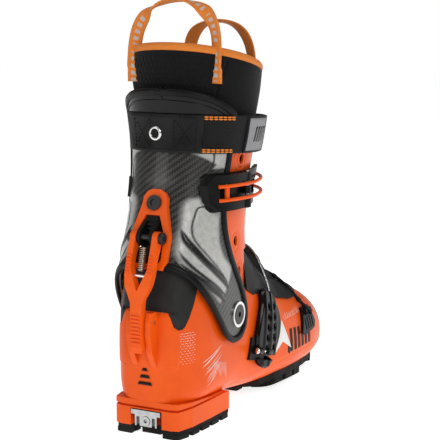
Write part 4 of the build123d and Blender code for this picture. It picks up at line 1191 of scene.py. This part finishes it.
def strap_piece(name, material, node, low, high, angles, closed, margin=0.0):
    """One layer of the strap: its outer face with rolled edges, closed behind."""
    crown, roll, shoulder = 0.25, 0.012, low + (high - low) * 0.75
    part = np.linspace(margin, 1 - margin, 15)
    first, last = margin + roll, 1 - margin - roll
    grows = [low, shoulder, *(high + crown * (1 - (2 * part - 1) ** 2)), shoulder, low]
    edges = [first, margin, *np.clip(part, first, last), 1 - margin, last]
    grid = np.vstack([strap_grid(edges, angles, grows), strap_grid([last, first], angles, [low, low])])
    rows, cols = grid.shape[:2]
    uv = np.stack([np.broadcast_to(run_lengths(grid, 0)[:, :1], (rows, cols)), run_lengths(grid, 1)], -1)
    faces = grid_faces(rows, cols, close_rows=True, flip=True)
    if not closed:
        faces += [[i * cols for i in range(rows)][::-1], [i * cols + cols - 1 for i in range(rows)]]
    obj = mesh_object(name, grid.reshape(-1, 3), faces, uv.reshape(-1, 2))
    if closed:
        weld = obj.modifiers.new("weld", "WELD")
        weld.merge_threshold = 0.02 * MM
        apply_all(obj)
    obj.data.set_sharp_from_angle(angle=math.radians(50))
    return worn_as(obj, material, "cuff", node)


def lay_on_cuff(z, angle, grow):
    """Points and normals of a line on the strap's surface."""
    z, angle = np.asarray(z, float), np.asarray(angle, float)
    x = shaft(z, angle, grow)[:, 0]
    level = z - STRAP_SLOPE * x
    return surface_frame(shaft, level, angle, grow)


def outwards(points, normals):
    """The normals turned away from the middle of the leg."""
    away = points - [45.0, 0.0, 0.0]
    sign = np.sign((away[:, :2] * normals[:, :2]).sum(1))
    return normals * sign[:, None]


def angle_at(x, z, grow):
    """The angle, 0 to 180, at which the cuff form has that x at that height."""
    return float(shaft_angle(x, z, grow))


patch_end = 180 - angle_at(1.5, 250, 4.0)
patch_angles = 180 + np.linspace(-patch_end, patch_end, 121)
strap_piece("power_strap_band", "strap_fabric", "power_strap", 0.35, 1.9, ring, True)
strap_piece("power_strap_patch", "strap_patch", "strap_patch", 2.3, 3.7, patch_angles, False, margin=0.012)
flap_start, flap_stop = -angle_at(37, 250, 4.0), angle_at(89, 250, 4.0)
flap_angles = np.linspace(flap_start, flap_stop, 201)
strap_piece("power_strap_flap", "strap_fabric", "strap_flap", 2.3, 3.7, flap_angles, False, margin=0.02)


def strap_line(high, start, stop, grow, count=120):
    angles = np.linspace(start, stop, count)
    p, n = lay_on_cuff(np.full(count, STRAP_LOW + high), angles, grow)
    return p, outwards(p, n)


patch_low, patch_high = 180 - patch_end + 3, 180 + patch_end - 3


def patch_seam(start, stop):
    """A stitched line on the patch between two (angle, height) places."""
    count = 40
    angles = np.linspace(start[0], stop[0], count)
    p, n = lay_on_cuff(np.linspace(STRAP_LOW + start[1], STRAP_LOW + stop[1], count), angles, 3.98)
    return stitches("seam", p, outwards(p, n), 2.2, 0.9, 0.3, 0.02)


seams = []
for high in (2.6, 29.4):
    p, n = strap_line(high, patch_low - 1, patch_high + 1, 3.95)
    seams.append(stitches("seam", p, n, 2.4, 1.0, 0.28, 0.05))
for edge, turn in ((patch_high, -1), (patch_low, 1)):
    near, far = edge + 4 * turn, edge + 20 * turn
    for angle in (edge + 3 * turn, edge + 21 * turn):
        seams.append(patch_seam((angle, 3.5), (angle, 28.5)))
    seams.append(patch_seam((far, 5), (near, 27)))
    seams.append(patch_seam((far, 27), (near, 5)))
worn_as(join("power_strap_black_stitches", seams), "black_matte", "cuff")

cords = []
for high in (2.4, 29.6):
    p, n = strap_line(high, -angle_at(2.5, 250, 3), -angle_at(27, 250, 3), 2.5, 60)
    for shift in (-0.9, 0.9):
        cords.append(stitches("cord", p + [0, 0, shift], n, 3.6, 0.5, 0.75, 0.0))
worn_as(join("power_strap_orange_stitches", cords), "binding_tape", "cuff")

# The printed label on the flap: a grey field with generic slanted bars.
label_angles = np.linspace(-angle_at(38.5, 250, 4), -angle_at(70, 250, 4), 60)
label_grid = strap_grid(np.linspace(0.07, 0.93, 12), label_angles, 4.0)
label = sheet_mesh("power_strap_label", label_grid, flip=True)
thicken(label, 0.25, offset=1.0)
apply_all(label)
worn_as(label, "label", "cuff")
BAR_WIDTH, BAR_LEAN = 2.7, 1.6
parts = []
for k in range(5):
    start = 47.5 + 4.6 * k
    low_edge, high_edge = (
        -np.array([angle_at(x, 250, 4), angle_at(x + BAR_WIDTH, 250, 4)]) for x in (start, start + BAR_LEAN)
    )
    rows = []
    for part in np.linspace(0, 1, 6):
        edge = 0.3 + 0.4 * part
        pair = low_edge * (1 - part) + high_edge * part
        rows.append(strap_grid([edge], np.linspace(pair[0], pair[1], 5), 4.3)[0])
    bar = sheet_mesh("bar", np.array(rows), flip=True)
    thicken(bar, 0.2, offset=1.0)
    parts.append(bar)
worn_as(join("power_strap_label_marks", parts), "black_gloss", "cuff")

# ---------------------------------------------------------------- grommet
EYE_ANGLE, EYE_HEIGHT = 175.0, 252.0
eye_p, eye_n = lay_on_cuff(np.array([EYE_HEIGHT]), np.array([EYE_ANGLE]), 4.0)
eye_n = outwards(eye_p, eye_n)[0]
eye_p = shaft(EYE_HEIGHT, EYE_ANGLE, 4.0)
side = np.cross(eye_n, [0, 0, 1.0])
side /= np.linalg.norm(side)
upward = np.cross(side, eye_n)
turn = np.linspace(0, 2 * np.pi, 64, endpoint=False)


def turned(section):
    """A section of (radius, height) points turned round the eyelet's axis."""
    spokes = side * np.cos(turn)[:, None] + upward * np.sin(turn)[:, None]
    return np.array([[eye_p + spoke * r + eye_n * h for r, h in section] for spoke in spokes])


EYE_SECTION = [
    (3.9, -2.5), (3.9, 0.9), (4.2, 1.35), (4.8, 1.5), (5.6, 1.2), (6.2, 0.5), (6.3, -0.5), (5.9, -1.0),
]
grommet = sheet_mesh("strap_eyelet", turned(EYE_SECTION), close_rows=True, close_cols=True)
worn_as(grommet, "bright_steel", "cuff", "strap_grommet")
# A black disc across the eyelet's bore: painted shade standing for the dark inside of the hole.
hole = sheet_mesh("strap_eyelet_shade_disc", turned([(0.01, 0.25), (4.1, 0.25)]), close_rows=True)
thicken(hole, 0.3)
apply_all(hole)
worn_as(hole, "black_matte", "cuff")


# ---------------------------------------------------------------- lower shell
COLLAR_LINE = [
    (-60, 158), (-8, 158), (2, 155), (10, 150), (17, 140), (24, 128),
    (29, 120), (36, 115), (52, 112), (80, 111), (100, 112),
]
SHELL_SIDE = [(300, -20), (-60, -20)] + COLLAR_LINE + [(104, 113), (300, 113)]
STATION_RUNS = [(-38.3, -30, 22), (-29, 236, 206), (237.5, 251.4, 20)]
stations = np.concatenate([np.linspace(*run) for run in STATION_RUNS])
GIRTH_POINTS = 301


def foot_ring(x):
    """A ring of points round the foot form, evenly spaced, starting under the sole on its middle line."""
    return even(foot(x, np.linspace(-90, 270, 721)), GIRTH_POINTS)


def closing(ring_points, side):
    """Rings that close the end of a form over its last ring."""
    middle = ring_points.mean(0)
    sizes = (0.02, 0.3, 0.55, 0.78, 0.93)
    return [middle + (ring_points - middle) * s + [side * 0.35 * (1 - s * s), 0, 0] for s in sizes]


rings = [foot_ring(x) for x in stations]
shell_grid = np.array(closing(rings[0], -1) + rings + closing(rings[-1], 1)[::-1])
sx, sy, sz = np.moveaxis(shell_grid, -1, 0)
throat = np.minimum(24.0 - np.abs(sy), np.minimum(sx - 52, 150 - sx))
throat = np.where(sz > 60, throat, -5)
collar_keep = side_of(sx, sz, SHELL_SIDE)
shell_keep = np.minimum(collar_keep, -throat)
shell_out = outward_from(shell_grid, (100, 0, 50))

PANEL_SIDE = [
    (-60, 107.5), (-33.6, 107.5), (-33.3, 99), (-33, 95.5), (-31, 93), (-27.5, 93), (-25.5, 95.5),
    (-22.7, 101), (-16.7, 114), (-8, 133), (2, 160), (2, 200), (-60, 200),
]
panel_near = np.maximum(side_of(sx, sz, PANEL_SIDE), -40)
recess = 0.9 * soft_step(panel_near, -0.3, 0.5) + 1.1 * soft_step(sz, 112, 132)
ledge = np.exp(-(((sz - 27.6) / 1.2) ** 2)) * (sx < 60) * 0.5
seam = 0.35 * np.exp(-(((sz - (30.5 + 0.02 * sx)) / 0.7) ** 2))
seam *= soft_step(sx, 52, 70) * soft_step(-sx, -246, -236)
FLANGE_SIDE = [(-60, 60), (-60, 107.5), (-29, 107.5), (-29, 96), (-31, 60)]
flange = 1.3 * soft_step(-side_of(sx, sz, FLANGE_SIDE), -0.2, -1.4)
moved = shell_grid + shell_out * (-recess - ledge - seam + flange)[..., None]
shell_uv = lengths_uv(shell_grid)
shell = cut_surface("shell_body", moved, np.minimum(shell_keep, -panel_near), shell_uv)
walled(shell, 3.4, 38)
worn_as(shell, "orange_plastic", "shell", "lower_shell")
panel_keep = np.minimum(np.minimum(panel_near, collar_keep), 148.5 - sz)
panel = cut_surface("ankle_panel_skin", moved, panel_keep, shell_uv)
walled(panel, 2.6, 38)
worn_as(panel, "dark_plastic", "shell", "ankle_panel")

# ---------------------------------------------------------------- instep cover
COVER_LOW = [
    (59, 112), (67, 107.5), (75, 103), (85, 99.5), (95, 97), (110, 93),
    (125, 90), (138, 87), (150, 85), (170, 84), (191, 90),
]
cover_low = curve_through(COVER_LOW, 80)
cover_stations = np.linspace(62, 189, 170)
cover_angles = np.linspace(-16, 196, 261)
cover_grid = np.array([cover(x, cover_angles) for x in cover_stations])
kx, ky, kz = np.moveaxis(cover_grid, -1, 0)
low_at = np.interp(kx, cover_low[:, 0], cover_low[:, 1])
part = (cover_angles[None, :] - 90) / 90
rib_phase = (kx - 100 - 16 * np.abs(part)) / 9.5
ribs = soft_step(np.cos(rib_phase * 2 * np.pi), -0.25, 0.85)
ribs *= soft_step(kx, 104, 112) * soft_step(-kx, -158, -150) * soft_step(-np.abs(part), -0.8, -0.62)
spine = soft_step(-np.abs(ky), -13, -10)
facet = 1.5 * soft_step(-np.abs(np.abs(part) - 0.42), -0.09, -0.02) * soft_step(-kx, -120, -112)
fold = -1.6 * np.exp(-(((kx - 101 - 6 * np.abs(part)) / 2.2) ** 2)) - 1.2 * np.exp(-(((kx - 160) / 2.0) ** 2))
cover_out = outward_from(cover_grid, (120, 0, 70))
height = 3.1 * ribs * (1 - 0.3 * spine) + 1.6 * facet + 1.6 * fold - 0.9
cover_moved = cover_grid + cover_out * height[..., None]
hem = soft_step(-(kz - low_at), -5.5, -4.5)
cover_moved = cover_moved + cover_out * (0.8 * hem)[..., None]
foot_half, _, foot_middle, foot_top = np.moveaxis(smooth_rows(FOOT, kx), -1, 0)
arch = np.clip(1 - np.clip(np.abs(ky) / foot_half, 0, 1) ** 2.35, 0, 1) ** (1 / 2.35)
above_foot = kz - (foot_middle + (foot_top - foot_middle) * arch) + 1.6
gaiter_keep = np.minimum(kz - low_at, above_foot)
gaiter = cut_surface("instep_gaiter", cover_moved, gaiter_keep, lengths_uv(cover_grid))
walled(gaiter, 2.6, 35)

# The flange of the cover that lies on the shell.
skirt_stations = np.linspace(62, 184, 160)
skirt_angles = np.linspace(8, 78, 71)
skirts = []
for mirror in (1, -1):
    grid = np.array([foot(x, skirt_angles, 1.9) for x in skirt_stations])
    grid[..., 1] *= mirror
    gx, gy, gz = np.moveaxis(grid, -1, 0)
    low = np.interp(gx, cover_low[:, 0], cover_low[:, 1])
    half, top = np.moveaxis(smooth_rows(COVER, gx), -1, 0)
    inside = 1 - (np.abs(gy) / half) ** 2.4 - (np.clip(gz - 60, 0, None) / (top - 60)) ** 2.4
    keep = np.minimum(gz - low, -(inside * 14) + 1.5)
    keep = np.minimum(keep, 46 - np.abs(gy))
    skirts.append(walled(cut_surface("skirt", grid, keep, lengths_uv(grid), flip=mirror < 0), 1.5, 35))
gaiter = join("instep_gaiter", [gaiter] + skirts)
gaiter.data.set_sharp_from_angle(angle=math.radians(38))
worn_as(gaiter, "cover_rubber", "shell", "instep_cover")

# ---------------------------------------------------------------- tongue
TONGUE_REAR = [
    (13, 262), (13, 250), (14, 230), (9, 205), (8, 195), (9, 182),
    (13, 172), (20, 161), (26, 148), (33, 133), (42, 120), (56, 113.5),
]
TONGUE_REST = [(125, 126), (125, 254), (60, 259)]
HOLES = [(44.8, 228.0, 3.6, 4.4), (43.0, 157.0, 3.6, 4.6), (50.5, 129.5, 3.2, 4.2)]  # x, z, half sizes
tongue_levels = np.linspace(111, 262, 164)
tongue_angles = np.linspace(-128, 128, 321)
tongue_depth = -4.4 + 1.05 * soft_step(tongue_levels, 160, 184)
tongue_grid = shaft(tongue_levels[:, None], tongue_angles[None, :], tongue_depth[:, None])
tx, ty, tz = np.moveaxis(tongue_grid, -1, 0)
tongue_keep = side_of(tx, tz, curve_through(TONGUE_REAR, 90).tolist() + TONGUE_REST)
cover_half, cover_top = np.moveaxis(smooth_rows(COVER, tx), -1, 0)
inside_cover = 1 - (np.abs(ty) / (cover_half - 3)) ** 2.4
inside_cover -= (np.clip(tz - 60, 0, None) / (cover_top - 63)) ** 2.4
tongue_keep = np.minimum(tongue_keep, np.where((tx > 64) & (tz < 146), inside_cover * 18, 9))
for hx0, hz0, rx, rz in HOLES:
    away = (np.hypot((tx - hx0) / rx, (tz - hz0) / rz) - 1) * rx
    tongue_keep = np.minimum(tongue_keep, away)
tongue_out = outward_from(tongue_grid, (45, 0, 0), (1, 1, 0))
centre_rib = 0.9 * soft_step(-np.abs(ty), -18, -14) * soft_step(tz, 178, 186)
relief = -0.7 * np.exp(-((tongue_keep - 3.0) ** 2) / 0.8) + centre_rib
tongue_moved = tongue_grid + tongue_out * (0.8 * relief)[..., None]
tongue = cut_surface("tongue_blade", tongue_moved, tongue_keep, lengths_uv(tongue_grid))
walled(tongue, 1.9, 38)
closed_out(tongue)
dress(tongue, "orange_plastic")
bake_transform(tongue)
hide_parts("tongue", "tongue_base")

# ---------------------------------------------------------------- foot of the liner
SOCK_RUNS = [(-31.5, -26, 12), (-24, 228, 100), (230, 243, 12)]
sock_stations = np.concatenate([np.linspace(*run) for run in SOCK_RUNS])
sock_grid = np.array([even(foot(x, np.linspace(-90, 270, 361), -4.6), 161) for x in sock_stations])
sock_grid = np.array(closing(sock_grid[0], -1) + list(sock_grid) + closing(sock_grid[-1], 1)[::-1])
ox, oz = sock_grid[..., 0], sock_grid[..., 2]
sock_keep = np.maximum(77.5 - np.hypot(ox - PIVOT[0], oz - PIVOT[1]), np.minimum(ox - 60, 124 - oz))
quilt = 0.5 * np.exp(-((np.mod(ox, 14) - 7) ** 2) / 1.2) * soft_step(oz, 30, 40)
sock_moved = sock_grid - outward_from(sock_grid, (100, 0, 50)) * quilt[..., None]
sock = cut_surface("liner_foot_sock", sock_moved, sock_keep, lengths_uv(sock_grid))
walled(sock, 6.0, 50)
worn_as(sock, "liner_fabric", "shell", "liner_foot")


# ---------------------------------------------------------------- printed graphics on the shell
def side_height(z, x):
    """The angle on the foot form's outer side at which it has that height."""
    half, bottom, middle, top = np.moveaxis(smooth_rows(FOOT, x), -1, 0)
    upper, lower = foot_bends(x)
    rise = np.where(z > middle, (z - middle) / (top - middle), (z - middle) / (middle - bottom))
    bend = np.where(z > middle, upper, lower)
    return np.degrees(np.arcsin(np.clip(spower(np.clip(rise, -1, 1), bend / 2), -1, 1)))


def print_on_foot(name, outline, thickness=0.3, lift=0.05):
    """A thin printed shape on the outer side of the shell, given by its side-view outline."""
    pts = np.asarray(outline, float)
    (x0, z0), (x1, z1) = pts.min(0) - 0.5, pts.max(0) + 0.5
    xs = np.linspace(x0, x1, max(6, int(x1 - x0)))
    zs = np.linspace(z0, z1, max(6, int(z1 - z0)))
    x, z = np.meshgrid(xs, zs)
    obj = cut_surface(name, foot(x, side_height(z, x), lift), side_of(x, z, pts), np.stack([x, z], -1))
    return apply_all(thicken(obj, thickness, offset=1.0))


def slanted(x, z, width, height, lean):
    """A leaning bar's side-view outline, from its lower rear corner."""
    return [(x, z), (x + width, z), (x + width + lean, z + height), (x + lean, z + height)]


# Generic slanted bars where the photographed boot has its lettering.
marks = []
for k in range(6):
    bar = slanted(138.5 + 8.2 * k, 37.0 - 0.15 * k, 4.6, 22.0 - 0.6 * k, -1.6)
    marks.append(print_on_foot("bar", bar))
marks.append(print_on_foot("bar", [(133.0, 44.3), (138.6, 42.0), (137.0, 35.0), (133.4, 37.5)]))
worn_as(join("side_graphic_bars", marks), "black_matte", "shell")
WEDGE = [(108.5, 42.0), (122.6, 70.5), (138.5, 41.0), (122.2, 50.5)]
wedge = print_on_foot("side_graphic_wedge", WEDGE, 0.4, 0.25)
dress(wedge, "white_print")
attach(wedge, "shell")


def strokes_on_foot(name, strokes):
    """Fine printed lines on the outer side, each given by its start, stop and widths at both ends."""
    lift, thickness, count = 0.12, 0.25, 7
    verts, faces = [], []
    for start, stop, w0, w1 in strokes:
        start, stop = np.array(start, float), np.array(stop, float)
        run = stop - start
        n = np.array([-run[1], run[0]]) / max(np.linalg.norm(run), 1e-6)
        t = np.linspace(0, 1, count)[:, None]
        width = (w0 + (w1 - w0) * t) * np.sin(np.clip(t * 0.94 + 0.03, 0, 1) * np.pi) ** 0.5 / 2
        middle = start + run * t
        x, z = np.moveaxis(np.stack([middle + n * width, middle - n * width], 1), -1, 0)
        top, low = (foot(x, side_height(z, x), grow) for grow in (lift, lift - thickness))
        ring = np.stack([top[:, 0], top[:, 1], low[:, 1], low[:, 0]], 1)
        base = len(verts)
        verts += ring.reshape(-1, 3).tolist()
        faces += grid_faces(count, 4, close_cols=True, base=base)
        last = base + 4 * (count - 1)
        faces += [[base + k for k in range(4)], [last + k for k in reversed(range(4))]]
    return mesh_object(name, verts, faces)


lines = []
for row in range(13):
    for column in range(5):
        x = -31.5 + 3.0 * column + (1.5 if row % 2 else 0.0)
        z = 90 - 2.15 * row
        size = 1.9 * (1 - 0.05 * row) * (1 - 0.12 * abs(column - 2))
        lines.append(((x, z), (x + size * 0.75, z - size * 0.55), 0.32, 0.24))
        lines.append(((x, z), (x - size * 0.75, z - size * 0.55), 0.24, 0.14))
for k in range(11):
    shift = 2.25 * k
    start = (-9.5 + 0.9 * k + 2.2 * math.sin(2.3 * k), 61.5 - shift)
    stop = (17 + 3.0 * math.cos(1.7 * k) - 0.5 * k, 72.5 - shift + 0.8 * math.sin(k))
    lines.append((start, stop, 0.6 - 0.03 * k, 0.3))
for k in range(12):
    x = 3 + 1.9 * k
    lines.append(((x, 60 - 0.4 * k), (x + 4.5, 50 - 0.9 * k + 2 * math.sin(k)), 0.3, 0.2))
for k in range(9):
    x = 128 + 4.0 * k
    lines.append(((x, 70.5 + 0.6 * math.sin(2 * k)), (x + 5.5, 74.5 + 0.9 * math.cos(k)), 0.35, 0.2))
    lines.append(((x + 2, 69.5), (x + 8, 70.3 + 0.5 * math.sin(k)), 0.3, 0.2))
prints = strokes_on_foot("side_graphic_hatching", lines)
dress(prints, "white_print")
closed_out(prints)
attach(prints, "shell")

# ---------------------------------------------------------------- generic heel mark
def on_heel(y, z):
    """Points just off the rear of the shell at those heights and distances from the middle."""
    y, z = np.broadcast_arrays(np.asarray(y, float), np.asarray(z, float))
    x = np.full(y.shape, -38.2)
    for guess in np.linspace(-38.3, -30, 120):
        half, bottom, middle, top = smooth_rows(FOOT, guess)
        upper, lower = foot_bends(guess)
        reach = np.where(z > middle, top - middle, middle - bottom)
        bend = np.where(z > middle, upper, lower)
        inside = np.abs(y / half) ** bend + np.abs((z - middle) / reach) ** bend
        x = np.where((inside < 1) & (x <= -38.19), guess, x)
    return np.stack([107 + (x - 107) * (1 + HEEL_LIFT / 145), y, z], -1)


HEEL_LIFT = 1.1
leaves = []
for level, reach in ((57.0, 3.0), (51.0, 5.0), (45.0, 7.0)):
    spans = [reach - 0.8 * k for k in range(3)]
    rows = [on_heel(np.linspace(-span, span, 9), level + 1.3 * k) for k, span in enumerate(spans)]
    leaves.append(thicken(sheet_mesh("leaf", np.array(rows)), 0.3, offset=0))
worn_as(join("heel_mark", leaves), "black_matte", "shell")

# ---------------------------------------------------------------- rounded edges on the hardware
# Widths in millimetres, by the CAD node whose own mesh is shown.
SOFT_EDGES = {
    "heel_block": 0.9, "heel_tread": 0.5, "forefoot_tread": 0.5, "heel_insert": 0.3, "toe_insert": 0.3,
    "heel_ears": 0.8, "spine_frame": 0.7, "lock_bracket": 0.4, "lock_lever": 0.7, "spine_bolt": 0.4,
    "lever_axle": 0.4, "upper_buckle_base": 0.5, "upper_buckle_lever": 0.8, "upper_catch": 0.3,
    "upper_bail": 0.3, "lower_buckle_base": 0.5, "front_hook": 0.5,
    "cable_guide": 0.5, "ankle_bolts": 0.5, "ankle_rings": 0.4,
}
for node_name, width in SOFT_EDGES.items():
    bevel = frame["nodes"][node_name].modifiers.new("soft_edges", "BEVEL")
    bevel.width = width * MM
    bevel.segments = 2
    bevel.limit_method = "ANGLE"
    bevel.angle_limit = math.radians(34)
    bevel.harden_normals = False


# ---------------------------------------------------------------- lower buckle lever
LEVER_SIDE = [
    (86, 104), (95, 101.5), (103, 96), (109.5, 87), (112.5, 75.8), (110.5, 62), (106, 52.9), (99, 43.5),
    (91, 37.6), (82, 37.5), (76, 42.5), (72.6, 50), (71.9, 58), (72.2, 66), (74, 73), (78, 83), (82, 92),
]
lever_edge = curve_through(LEVER_SIDE, 120, True)
lx, lz = np.meshgrid(np.linspace(70, 122, 79), np.linspace(35, 106, 108))
inside = side_of(lx, lz, lever_edge)
axis_low, axis_top = np.array([89.5, 50.0]), np.array([96.0, 92.0])
run = (axis_top - axis_low) / np.linalg.norm(axis_top - axis_low)
along = (lx - axis_low[0]) * run[0] + (lz - axis_low[1]) * run[1]
across_lever = (lx - axis_low[0]) * run[1] - (lz - axis_low[1]) * run[0]
slots = np.full(lx.shape, -9.0)
for k in range(5):
    for side in (-1, 1):
        place_u, place_v = 3.0 + 8.6 * k, side * (5.4 - 0.35 * k)
        hole = 1.0 - np.hypot((along - place_u) / 2.5, (across_lever - place_v) / 1.7)
        slots = np.maximum(slots, hole * 1.8)
off_middle = -np.abs(across_lever)
raised = 2.2 * soft_step(inside, 0.0, 2.4) + 1.3 * soft_step(off_middle, -11.5, -9.0)
raised += 0.8 * soft_step(off_middle, -2.2, -1.2) - 0.8 * soft_step(slots, -1.4, -0.2)
lever_angle = side_height(lz, lx)
lever_grid = foot(lx, lever_angle, 4.0 + raised)
lever_uv = np.stack([lx, lz], -1)

# The blade turns about its pin; the lever's tail below the pin is a piece of its own on the shell.
PIN_X, PIN_Y, PIN_Z, PIN_TILT, PIN_DROP = 79, -53.6, 52, math.radians(14), 0.2493
above_axis = lz - (PIN_Z - PIN_DROP * (lx - PIN_X))
blade_keep = np.minimum(np.minimum(inside, -slots), above_axis + 2.4)
blade = walled(cut_surface("blade", lever_grid, blade_keep, lever_uv), 2.6, 42)
tail_cap = walled(cut_surface("cap", lever_grid, np.minimum(inside, -6.5 - above_axis), lever_uv), 4.6, 42)
plate_keep = np.minimum(inside - 0.4, -3 - above_axis)
tail_plate = walled(cut_surface("plate", foot(lx, lever_angle, 0.7), plate_keep, lever_uv), 1.0, 42)
worn_as(join("lower_buckle_base_tail", [tail_cap, tail_plate]), "black_gloss", "shell")


def pin_rod(name, ends, radius, count):
    """A rod along the pin, between two points."""
    ends = np.array(ends)
    line = ends[0] + (ends[1] - ends[0]) * np.linspace(0, 1, count)[:, None]
    return tube(name, line, radius, np.tile([0, 1, 0.0], (count, 1)), 24)


bosses = []
for stops in ((66.5, 70.5), (88.0, 92.5)):
    reach = [x - PIN_X for x in stops]
    ends = [[PIN_X + r * math.cos(PIN_TILT), PIN_Y, PIN_Z - r * math.sin(PIN_TILT)] for r in reach]
    bosses.append(pin_rod("boss", ends, 3.5, 5))
lower_lever = join("lower_buckle_blade", [blade] + bosses)
lower_lever.data.set_sharp_from_angle(angle=math.radians(42))
worn_as(lower_lever, "black_gloss", "lower_lever", "lower_buckle_lever")
pin_head = pin_rod("lower_buckle_pin_head", [[65.2, PIN_Y, 55.44], [66.6, PIN_Y, 55.09]], 2.7, 4)
worn_as(pin_head, "bright_steel", "lower_lever")

# ---------------------------------------------------------------- instep cable
# Places on or near the foot and cover forms: over the instep, then back to the front hook.
ROUTE_ONE = [
    foot(102, 26, 3.6), foot(105, 38, 3.8), cover(112, 56, 3.2), cover(118, 74, 2.6),
    cover(121, 92, 2.6), cover(124, 118, 2.8), cover(126, 140, 4.4), foot(126, 164, 5.2),
]
ROUTE_TWO = [
    foot(138, 164, 5.2), cover(141, 138, 4.4), cover(145, 116, 2.4), cover(151, 90, 1.6),
    cover(158, 66, 0.9), cover(165, 46, 2.6), foot(174, 20, 6.8),
]


def wire_rope(name, route, radius):
    """A rope of twisted strands along a route."""
    lobes, lay, count = 6, 9.0, 150
    line = curve_through(route, count)
    normals = np.tile([0.13, 0.31, 0.94], (count, 1))
    _, across, out = frames_along(line, normals)
    run = run_lengths(line[:, None], 0)[:, 0]
    t = np.linspace(0, 2 * np.pi, lobes * 5, endpoint=False)
    rows = []
    for i in range(count):
        r = radius * (0.86 + 0.14 * np.abs(np.cos(lobes / 2 * (t - run[i] / lay * 2 * np.pi))))
        rows.append(line[i] + across[i] * (r * np.cos(t))[:, None] + out[i] * (r * np.sin(t))[:, None])
    return closed_out(sheet_mesh(name, np.array(rows), close_cols=True))


ropes = [wire_rope("rope", ROUTE_ONE, 1.15), wire_rope("rope", ROUTE_TWO[:5], 1.1)]
worn_as(join("instep_cable_rope", ropes), "steel", "shell", "instep_cable")
line = curve_through(ROUTE_TWO[3:], 60)
sleeve = [tube("sleeve", line, 1.55, count=14)]
sleeve += [tube("ring", line[k : k + 4], 2.0, count=14) for k in (8, 20, 32, 44)]
worn_as(join("instep_cable_sleeve", sleeve), "black_matte", "shell")


# ---------------------------------------------------------------- upper buckle bail
BAIL_Z = 203.0
# Its two rods as (angle, distance off the shaft form); the first three lie where the form has that x.
BAIL_STOPS = [(-angle_at(x, BAIL_Z, 8.0), g) for x, g in ((4.0, 8.6), (8.5, 8.9), (12.5, 9.1))]
BAIL_STOPS += [(-104, 9.4), (-93, 10.4), (-80, 9.4), (-64, 8.2), (-46, 7.4), (-28, 7.0), (-10, 6.8), (8, 6.8)]
bail_parts = []
for z in (197.2, 208.8):
    line = curve_through([[*shaft(BAIL_Z, a, g)[:2], z] for a, g in BAIL_STOPS], 110)
    bail_parts.append(tube("rod", line, 1.55, np.tile([0, 0, 1.0], (110, 1)), 16))
for angle, grow, radius in ((-angle_at(14.0, BAIL_Z, 5.8), 6.2, 2.3), (8.0, 6.8, 1.6)):
    x, y, _ = shaft(BAIL_Z, angle, grow)
    line = np.array([[x, y, z] for z in np.linspace(196.4, 209.6, 7)])
    bail_parts.append(tube("bar", line, radius, np.tile([0, 1.0, 0], (7, 1)), 16))
bail = join("upper_buckle_bail", bail_parts)
bail.data.set_sharp_from_angle(angle=math.radians(40))
worn_as(bail, "orange_plastic", "upper_bail", "upper_bail")


# ---------------------------------------------------------------- bounds of the visible pieces
low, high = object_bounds()
